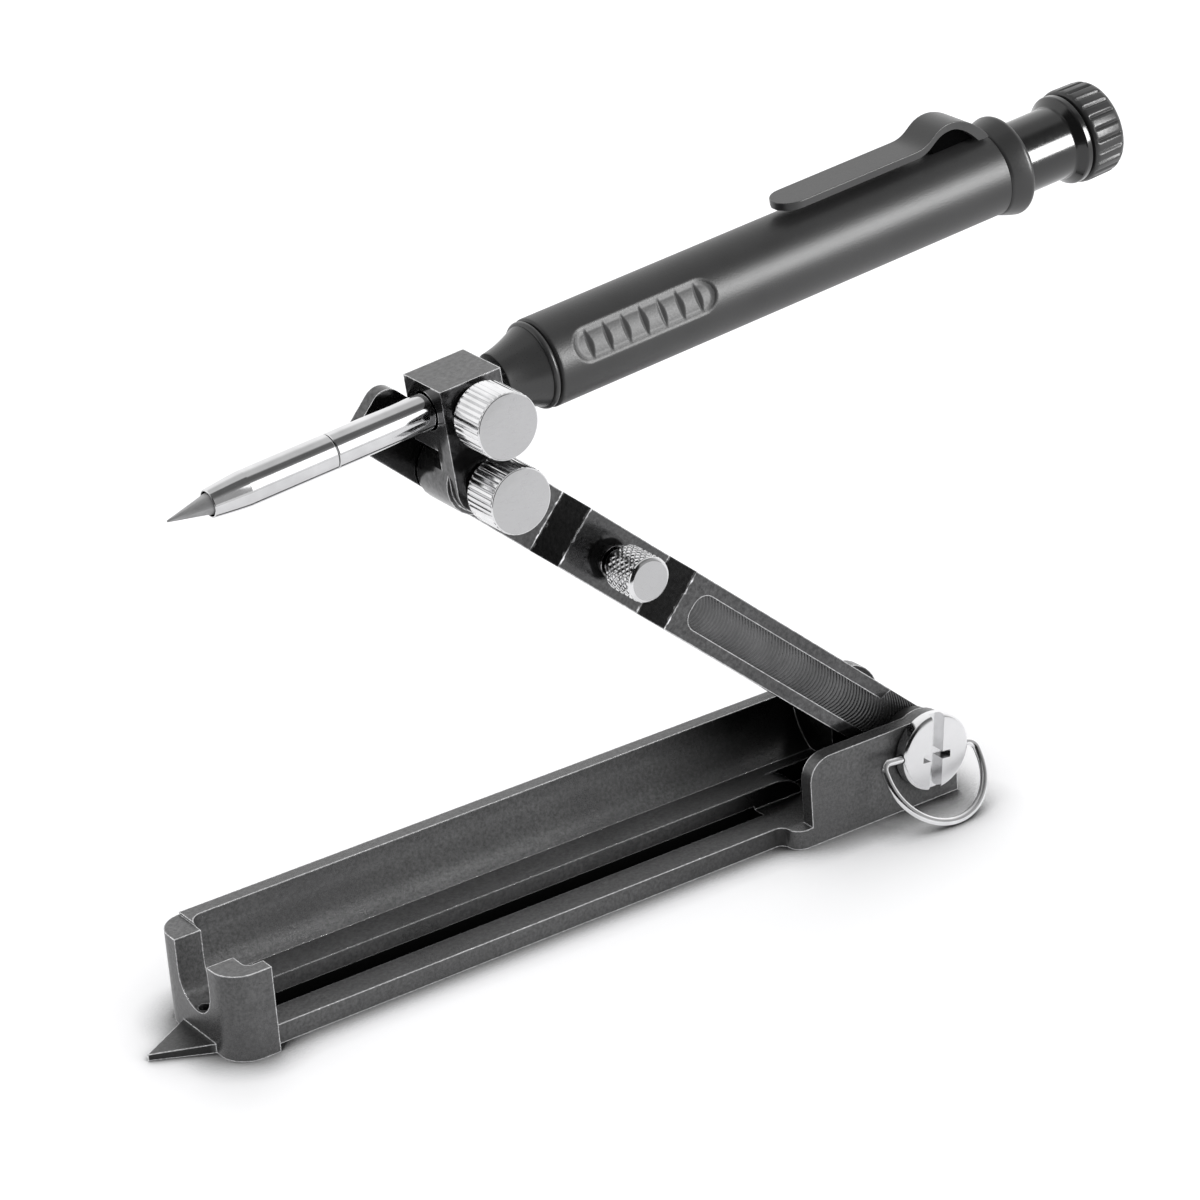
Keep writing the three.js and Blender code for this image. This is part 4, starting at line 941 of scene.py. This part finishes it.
nose = [(MOUTH_RADIUS, TIP_FRONT), (TIP_RADIUS - 0.05, TIP_FRONT, 0.08)]
for k in range(15):
    share = k / 14
    radius = TIP_RADIUS + (TUBE_RADIUS - TIP_RADIUS) * eased(share)
    nose.append((radius, TIP_FRONT + 0.08 + TIP_LENGTH * share))
nose += [
    (TUBE_RADIUS, JOINT - 0.08, 0.1), (TUBE_RADIUS - 0.15, JOINT), (THREAD_RADIUS, JOINT),
    (THREAD_RADIUS, THREAD_END), (TUBE_BORE, THREAD_END), (TUBE_BORE, -30.5), (MOUTH_RADIUS, -32.5),
    (MOUTH_RADIUS, TIP_FRONT),
]
nose_tip = turned(nose, "nose_tip_turned", 3.6)
dress(nose_tip, "pencil", "nose_tip", "bright", "chrome")

socket_radius = THREAD_RADIUS + THREAD_ROOM
tube_front = JOINT + THREAD_ROOM
socket_end = THREAD_END + THREAD_ROOM
tube = [
    (socket_radius, tube_front), (TUBE_RADIUS, tube_front + 0.08, 0.08), (TUBE_RADIUS, TUBE_END, 0.05),
    (TUBE_BORE, TUBE_END), (TUBE_BORE, socket_end), (socket_radius, socket_end),
    (socket_radius, tube_front),
]
nose_tube = turned(tube, "nose_tube_drawn", 32)
dress(nose_tube, "pencil", "nose_tube", "bright", "chrome")

# Front cone and bead
CONE_FRONT = 6.0
CONE_LENGTH = 5.28
CONE_BORE = 2.47
CONE_SMALL = 3.7
CONE_LARGE = 5.32
BEAD_RADIUS = 0.45
BEAD_MIDDLE = 11.8

cone = [(CONE_BORE, CONE_FRONT), (CONE_SMALL, CONE_FRONT, 0.35)]
for k in range(1, 20):
    share = k / 19
    rise = 0.42 * share + 0.58 * share ** 2
    cone.append((CONE_SMALL + (CONE_LARGE - CONE_SMALL) * rise, CONE_FRONT + CONE_LENGTH * share))
for k in range(13):
    turn = math.pi * k / 12
    cone.append((5.3 + BEAD_RADIUS * math.sin(turn), BEAD_MIDDLE - BEAD_RADIUS * math.cos(turn)))
cone += [(CONE_BORE, BEAD_MIDDLE + BEAD_RADIUS), (CONE_BORE, CONE_FRONT)]
front_cone = turned(cone, "front_cone_moulded", 40)
dress(front_cone, "pencil", "front_cone", "barrel_plastic", "cone")

# Barrel with three sunk grip pads, each with a row of notches
BARREL_RADIUS = 5.88
BARREL_FRONT = 12.34
BARREL_REAR = 83.8
BARREL_CORNER = 0.35
GRIP_FIRST = 14.9
GRIP_LAST = 36.8
GRIP_HALF = 2.5
GRIP_DEPTH = 0.36
GRIP_TURN = math.radians(24.5)
NOTCH_FIRST = 17.45
NOTCH_PITCH = 2.78
NOTCHES = 7


def grip_depth(place, across):
    """How far the surface is sunk at a place along the pad and a distance across it."""
    along = min(max(place, GRIP_FIRST + GRIP_HALF), GRIP_LAST - GRIP_HALF)
    edge = GRIP_HALF - math.hypot(place - along, across)
    depth = GRIP_DEPTH * smoothstep(-0.1, 1.0, edge)
    step = round((place - NOTCH_FIRST) / NOTCH_PITCH)
    if 0 <= step < NOTCHES:
        near = abs(place - NOTCH_FIRST - step * NOTCH_PITCH)
        half = 0.5 * (1 - (across / 2.15) ** 2)
        depth += 0.85 * max(0.0, half - near)
    return depth


def barrel_radius(angle, place):
    r = BARREL_RADIUS
    if place < BARREL_FRONT + BARREL_CORNER:
        r -= BARREL_CORNER * (1 - (place - BARREL_FRONT) / BARREL_CORNER) ** 2
    if not GRIP_FIRST - 0.5 < place < GRIP_LAST + 0.5:
        return r
    for k in range(3):
        centre = math.pi - GRIP_TURN + k * 2 * math.pi / 3
        away = (angle - centre + math.pi) % (2 * math.pi) - math.pi
        across = away * BARREL_RADIUS
        if abs(across) <= GRIP_HALF + 0.4:
            return r - grip_depth(place, across)
    return r


stations = [BARREL_FRONT + BARREL_CORNER * k / 5 for k in range(6)]
stations += list(np.linspace(BARREL_FRONT + 0.6, GRIP_FIRST - 0.4, 6))
stations += list(np.linspace(GRIP_FIRST - 0.3, GRIP_LAST + 0.3, 200))
stations += list(np.linspace(GRIP_LAST + 1.0, BARREL_REAR, 24))
shell = surface(barrel_radius, stations, 312, inner=(2.65, 5.1))
barrel = finish_mesh(shell, "barrel_moulded", AT_PENCIL, sharp=50)


def barrel_paint(centre, normal):
    """The sunk parts of the grip pads are a little paler than the barrel."""
    sunk = 5.0 < math.hypot(centre.y, centre.z) < BARREL_RADIUS - 0.16
    return 1 if sunk and GRIP_FIRST < centre.x < GRIP_LAST else 0


paint_faces(barrel, barrel_paint)
dress(barrel, "pencil", "pencil_barrel", "barrel_plastic", "barrel", "pad")

# Rear collar
COLLAR_BORE = 5.1
COLLAR_FRONT = 83.92
COLLAR_REAR = 87.32
COLLAR_SMALL = 5.95
COLLAR_LARGE = 6.78
COLLAR_ROLL = 86.6

collar = [(COLLAR_BORE, COLLAR_FRONT), (5.8, COLLAR_FRONT, 0.06)]
for k in range(1, 16):
    share = k / 15
    collar.append((COLLAR_SMALL + (COLLAR_LARGE - COLLAR_SMALL) * eased(share), 83.95 + 2.6 * share))
for k in range(1, 12):
    turn = math.pi / 2 * k / 11
    collar.append((COLLAR_LARGE - 0.7 * (1 - math.cos(turn)), COLLAR_ROLL + 0.72 * math.sin(turn)))
collar += [(COLLAR_BORE, COLLAR_REAR, 0.15), (COLLAR_BORE, COLLAR_FRONT)]
rear_collar = turned(collar, "rear_collar_moulded", 40)
dress(rear_collar, "pencil", "rear_collar", "barrel_plastic", "clip")

# Pocket clip: a flat tongue, an arch and a root in the barrel's rear
CLIP_HALF = 2.7
CLIP_UNDER = 6.93
CLIP_OVER = 7.98
CLIP_FRONT = 50.5
ARCH_START = 71.6
ARCH_FOOT = 74.5
ARCH_TOP = 77.4
ARCH_RISE = 2.0
CLIP_SEAT = 5.95


def bezier(a, b, c, d, count):
    """Points on a cubic curve from a to d, both ends included."""
    points = []
    for k in range(count + 1):
        t = k / count
        weights = ((1 - t) ** 3, 3 * (1 - t) ** 2 * t, 3 * (1 - t) * t ** 2, t ** 3)
        points.append(tuple(sum(w * p[i] for w, p in zip(weights, (a, b, c, d))) for i in (0, 1)))
    return points


def clip_line(level, over, down, root):
    """The clip's upper or lower line, in (along, up), from its front end to its root."""
    top = level + ARCH_RISE
    line = [(CLIP_FRONT + k * (ARCH_START - CLIP_FRONT) / 40, level) for k in range(40)]
    line += bezier((ARCH_START, level), (ARCH_FOOT, level), (ARCH_FOOT, top), (ARCH_TOP, top), 16)
    line += bezier((ARCH_TOP, top), (over, top), down, (root, CLIP_SEAT), 20)[1:]
    return line


def clip_mesh():
    """A bar between the two lines, with a round front end and its full width at the root."""
    bm = bmesh.new()
    upper = clip_line(CLIP_OVER, 80.5, (83.4, 6.5), 83.4)
    lower = clip_line(CLIP_UNDER, 79.2, (81.0, 6.9), 81.7)
    rings = []
    for (x1, z1), (x2, z2) in zip(upper, lower):
        short = max(0.0, CLIP_HALF - (x1 - CLIP_FRONT))
        half = max(math.sqrt(CLIP_HALF ** 2 - short ** 2), 0.55)
        corners = ((x1, -half, z1), (x1, half, z1), (x2, half, z2), (x2, -half, z2))
        rings.append([bm.verts.new(corner) for corner in corners])
    return loft(bm, rings)


clip = finish_mesh(clip_mesh(), "pocket_clip_moulded", AT_PENCIL)
round_edges(clip, 0.3, 4, angle=40)
dress(clip, "pencil", "pocket_clip", "barrel_plastic", "clip")

# Rib under the clip's arch, coloured near black as painted shade
RIB_HALF = 1.2
RIB_SIDE = (
    (75.2, CLIP_SEAT), (75.2, 7.3), (76.8, 8.75), (79.6, 8.6), (81.2, 7.0), (81.8, CLIP_SEAT),
)

prism = bmesh.new()
near_side = [prism.verts.new((x, -RIB_HALF, z)) for x, z in RIB_SIDE]
far_side = [prism.verts.new((x, RIB_HALF, z)) for x, z in RIB_SIDE]
prism.faces.new(near_side)
prism.faces.new(far_side)
skin(prism, near_side, far_side)
rib = finish_mesh(prism, "pocket_clip_rib", AT_PENCIL)
round_edges(rib, 0.15)
dress(rib, "pencil", None, "barrel_plastic", "recess")

# Push button: a tube inside the barrel, the glossy neck, its flange and the cap's spigot
BUTTON_FRONT = 60.0
BUTTON_BORE = 1.4
GUIDE_SEAT = 2.22
NECK_RADIUS = 4.9
FLANGE_RADIUS = 6.05
FLANGE_REAR = 97.5
SPIGOT_RADIUS = 3.3
SPIGOT_REAR = 100.1

button = [
    (GUIDE_SEAT, BUTTON_FRONT), (NECK_RADIUS, BUTTON_FRONT, 0.2), (NECK_RADIUS, 95.7, 0.6),
    (FLANGE_RADIUS - 0.1, 96.6, 0.2), (FLANGE_RADIUS, 96.8, 0.1), (FLANGE_RADIUS, FLANGE_REAR, 0.12),
    (SPIGOT_RADIUS, FLANGE_REAR), (SPIGOT_RADIUS, SPIGOT_REAR, 0.1), (BUTTON_BORE, SPIGOT_REAR),
    (BUTTON_BORE, 64.6), (GUIDE_SEAT, 64.3), (GUIDE_SEAT, BUTTON_FRONT),
]
push_button = turned(button, "push_button_moulded", 40, sides=128, steps=6)
dress(push_button, "button", "push_button", "button_plastic", "button")

# Fluted cap
CAP_FRONT = 97.9
CAP_REAR = 103.0
FLUTES = 24
FLUTE_DEPTH = 0.34
FLUTE_HALF = 0.22
# Each row is a place along the axis, the radius there, and the share of the flutes' depth
CAP_ROWS = (
    (CAP_FRONT, 6.0, 0),
    (CAP_FRONT + 0.12, 6.2, 0),
    (CAP_FRONT + 0.35, 6.34, 0.1),
    (CAP_FRONT + 0.6, 6.39, 0.75),
    (CAP_FRONT + 0.75, 6.4, 1),
    (CAP_REAR - 0.95, 6.34, 1),
    (CAP_REAR - 0.75, 6.3, 0.8),
    (CAP_REAR - 0.5, 6.2, 0.3),
    (CAP_REAR - 0.22, 6.0, 0),
    (CAP_REAR - 0.05, 5.75, 0),
    (CAP_REAR, 5.6, 0),
)
cap_lookup = {place: (radius, share) for place, radius, share in CAP_ROWS}


def cap_radius(angle, place):
    radius, share = cap_lookup[place]
    phase = (angle * FLUTES / (2 * math.pi)) % 1.0
    valley = smoothstep(0.0, 1.0, max(0.0, 1 - abs(phase - 0.5) / FLUTE_HALF))
    return radius - FLUTE_DEPTH * share * valley


cap_shell = surface(cap_radius, list(cap_lookup), FLUTES * 12, inner=(3.42, 1.7))
sharpener_cap = finish_mesh(cap_shell, "sharpener_cap_moulded", AT_PENCIL, sharp=40)
dress(sharpener_cap, "cap", "sharpener_cap", "cap_plastic", "cap")

# Sharpener blade, in the solid's own shape
blade = bpy.data.objects.new("sharpener_blade_ground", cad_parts["sharpener_blade"].data.copy())
bpy.context.scene.collection.objects.link(blade)
blade.data.materials.clear()
dress(blade, "cap", "sharpener_blade", "spring_steel", "steel")

# Solids that stay as they are inside the pencil
for node, look in (("collet", "brass"), ("lead_guide_tube", "brass"), ("return_spring", "steel")):
    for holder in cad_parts[node].material_slots:
        holder.material = MATERIALS[look]

# Studio: floor, tent and lamps. Azimuth 0 is toward -Y and grows toward +X
scene = bpy.context.scene
FLOOR_HALF = 3.0
FLOOR_GLOW = 0.44


def stage_piece(name, vertices, faces, material):
    """A mesh of the studio, which isn't part of the object."""
    mesh = bpy.data.meshes.new(name)
    mesh.from_pydata(vertices, [], faces)
    mesh.materials.append(material)
    piece = bpy.data.objects.new(name, mesh)
    scene.collection.objects.link(piece)
    return piece


def floor_paper():
    """White paper with a painted contact shadow close to the object, which reflections don't show."""
    n = Look("floor_paper")
    # Painted contact shadow: colour and glow go dark where the object is close; glossy rays see the paper
    # unshaded.
    near_open = n.open_share(6, 0.5, 0.95)
    wide_open = n.open_share(26, 0.3, 0.88, least=0.2)
    mirrored = n.node("ShaderNodeLightPath")["Is Glossy Ray"]
    lit = n.larger(n.times(near_open, wide_open), mirrored)
    glow = n.times(n.seen_rays(), FLOOR_GLOW)
    return n.finished(
        Base_Color=n.mix(lit, grey(0.04), grey(0.82)),
        Roughness=0.8,
        Emission_Color=grey(1.0),
        Emission_Strength=n.times(glow, lit),
    )


corners = [(x * FLOOR_HALF, y * FLOOR_HALF, 0) for x, y in ((-1, -1), (1, -1), (1, 1), (-1, 1))]
stage_piece("floor", corners, [(0, 1, 2, 3)], floor_paper())

# The tent is a dome seen only in reflections: dark on the camera's side, bright behind, dimmer overhead
TENT_RADIUS = 2.6
TENT_LOWEST = -1
TENT_RISE = 91


def dark_side(azimuth):
    """1 on the camera's side. Angles are in degrees here."""
    return smoothstep(-112, -98, azimuth) * (1 - smoothstep(-9, -3, azimuth))


def tent_tone(azimuth, elevation):
    """The glow of a place on the dome. The dark side ends overhead."""
    back = 1.25 - 0.5 * smoothstep(38, 62, elevation)
    front = 0.42 - 0.27 * smoothstep(32, 58, elevation)
    behind = smoothstep(55, 85, abs(azimuth))
    tone = front + (back - front) * behind
    low = 1 - smoothstep(40, 60, elevation)
    return tone * (1 - 0.97 * dark_side(azimuth) * low)


def glowing_grid(name, columns, rows, place, tone):
    """A sheet of rows by columns whose glow varies over it, seen only in reflections."""
    shares = [(column / columns, row / rows) for row in range(rows + 1) for column in range(columns + 1)]
    faces = []
    for row in range(rows):
        for column in range(columns):
            corner = row * (columns + 1) + column
            faces.append((corner, corner + 1, corner + columns + 2, corner + columns + 1))
    cloth = Look(name + "_cloth")
    level = cloth.node("ShaderNodeAttribute", attribute_name="tone")["Fac"]
    glow = cloth.node("ShaderNodeEmission", {"Strength": level})[0]
    cloth.node("ShaderNodeOutputMaterial", {"Surface": glow})
    cloth.material.cycles.emission_sampling = "NONE"
    piece = stage_piece(name, [place(*share) for share in shares], faces, cloth.material)
    tones = [tone(*share) for share in shares]
    piece.data.attributes.new("tone", "FLOAT", "POINT").data.foreach_set("value", tones)
    for kind in ("camera", "diffuse", "shadow", "transmission", "volume_scatter"):
        setattr(piece, "visible_" + kind, False)


def tent_angles(across, up):
    """Azimuth and elevation of a place on the dome."""
    return 360 * across - 180, TENT_RISE * up + TENT_LOWEST


def tent_place(across, up):
    azimuth, elevation = map(math.radians, tent_angles(across, up))
    flat = TENT_RADIUS * math.cos(elevation)
    return flat * math.sin(azimuth), -flat * math.cos(azimuth), TENT_RADIUS * math.sin(elevation)


glowing_grid("tent", 96, 40, tent_place, lambda *share: tent_tone(*tent_angles(*share)))

# The apron lies on the floor round the camera's side, so that low reflections go dark too
APRON_START = 0.32
APRON_HEIGHT = 0.0004


def apron_azimuth(across):
    return 125 * across - 112


def apron_place(across, out):
    azimuth = math.radians(apron_azimuth(across))
    reach = APRON_START + (TENT_RADIUS - APRON_START) * out ** 2
    return reach * math.sin(azimuth), -reach * math.cos(azimuth), APRON_HEIGHT


def apron_tone(across, out):
    return 0.9 - 0.87 * dark_side(apron_azimuth(across)) * smoothstep(0, 0.1, out)


glowing_grid("apron", 30, 12, apron_place, apron_tone)

# World: white where it is seen, and a plain fill for everything else
FILL = 0.75
world = bpy.data.worlds.new("studio")
world.use_nodes = True
sky = Tree(world.node_tree)
fill = sky.node("ShaderNodeBackground", {"Color": (1, 1, 1, 1), "Strength": FILL})[0]
white = sky.node("ShaderNodeBackground", {"Color": (1, 1, 1, 1), "Strength": 1.0})[0]
blend = sky.node("ShaderNodeMixShader", {0: sky.seen_rays(), 1: fill, 2: white})[0]
sky.node("ShaderNodeOutputWorld", {"Surface": blend})
scene.world = world

# Lamps
CENTRE = Vector((-0.03, 0, 0.05))
BARREL_REAR_PLACE = Vector((0.0, -0.008, 0.086))
NOSE_PLACE = Vector((-0.07, -0.008, 0.08))


def area_lamp(name, azimuth, elevation, away, size, tone, target=CENTRE, glossy=True, only=()):
    """A soft box whose face shows the given tone, placed by its direction from the target.

    A lamp that isn't glossy has no mirror image. only lists the pieces that it lights, if not all.
    """
    turn = math.radians(azimuth)
    rise = math.radians(elevation)
    toward = Vector((math.sin(turn) * math.cos(rise), -math.cos(turn) * math.cos(rise), math.sin(rise)))
    light = bpy.data.lights.new(name, "AREA")
    light.shape = "RECTANGLE"
    light.size = size[0]
    light.size_y = size[1]
    light.energy = tone * math.pi * size[0] * size[1]
    lamp = bpy.data.objects.new(name, light)
    lamp.location = target + toward * away
    lamp.rotation_euler = (-toward).to_track_quat("-Z", "Y").to_euler()
    lamp.visible_glossy = glossy
    scene.collection.objects.link(lamp)
    if only:
        lit = bpy.data.collections.new(name + "_lights")
        for piece in only:
            lit.objects.link(piece)
        lamp.light_linking.receiver_collection = lit


body_pieces = [front_cone, barrel, rear_collar, clip, push_button, sharpener_cap]
area_lamp("key", 30, 15, 0.62, (0.24, 0.32), 25.0, BARREL_REAR_PLACE, only=body_pieces)
area_lamp("card", 33, 19, 0.7, (0.5, 0.54), 1.7, NOSE_PLACE, only=[nose_tip, nose_tube])
area_lamp("strip", 49, 50, 0.9, (0.5, 0.045), 17.0, only=[tray, carriage])
area_lamp("front", 36, 14, 0.9, (0.5, 0.4), 8.0, glossy=False, only=[tray])
area_lamp("back", 151, 35, 1.3, (0.8, 0.6), 2.0, glossy=False)

# Camera, as fitted to the outline
PHOTO_WIDTH = 1200
FOCAL_PIXELS = 4600.25
CAMERA_PLACE = (-0.336, -0.45795, 0.29277)
CAMERA_AZIMUTH = math.radians(32.537)
CAMERA_ELEVATION = math.radians(24.885)
CAMERA_ROLL = math.radians(-4.525)


def camera_turn():
    """The camera's axes, from its azimuth, its elevation and its roll."""
    right = Vector((math.cos(CAMERA_AZIMUTH), -math.sin(CAMERA_AZIMUTH), 0))
    toward = Vector((
        -math.sin(CAMERA_AZIMUTH) * math.cos(CAMERA_ELEVATION),
        -math.cos(CAMERA_AZIMUTH) * math.cos(CAMERA_ELEVATION),
        math.sin(CAMERA_ELEVATION),
    ))
    up = toward.cross(right)
    across = right * math.cos(CAMERA_ROLL) + up * math.sin(CAMERA_ROLL)
    upright = up * math.cos(CAMERA_ROLL) - right * math.sin(CAMERA_ROLL)
    return Matrix((across, upright, toward)).transposed().to_4x4()


camera_data = bpy.data.cameras.new("camera")
camera_data.sensor_fit = "HORIZONTAL"
camera_data.sensor_width = 36
camera_data.lens = FOCAL_PIXELS * 36 / PHOTO_WIDTH
camera_data.clip_start = 0.05
camera = bpy.data.objects.new("camera", camera_data)
scene.collection.objects.link(camera)
camera.matrix_world = Matrix.Translation(CAMERA_PLACE) @ camera_turn()
scene.camera = camera

scene.view_settings.view_transform = "Standard"
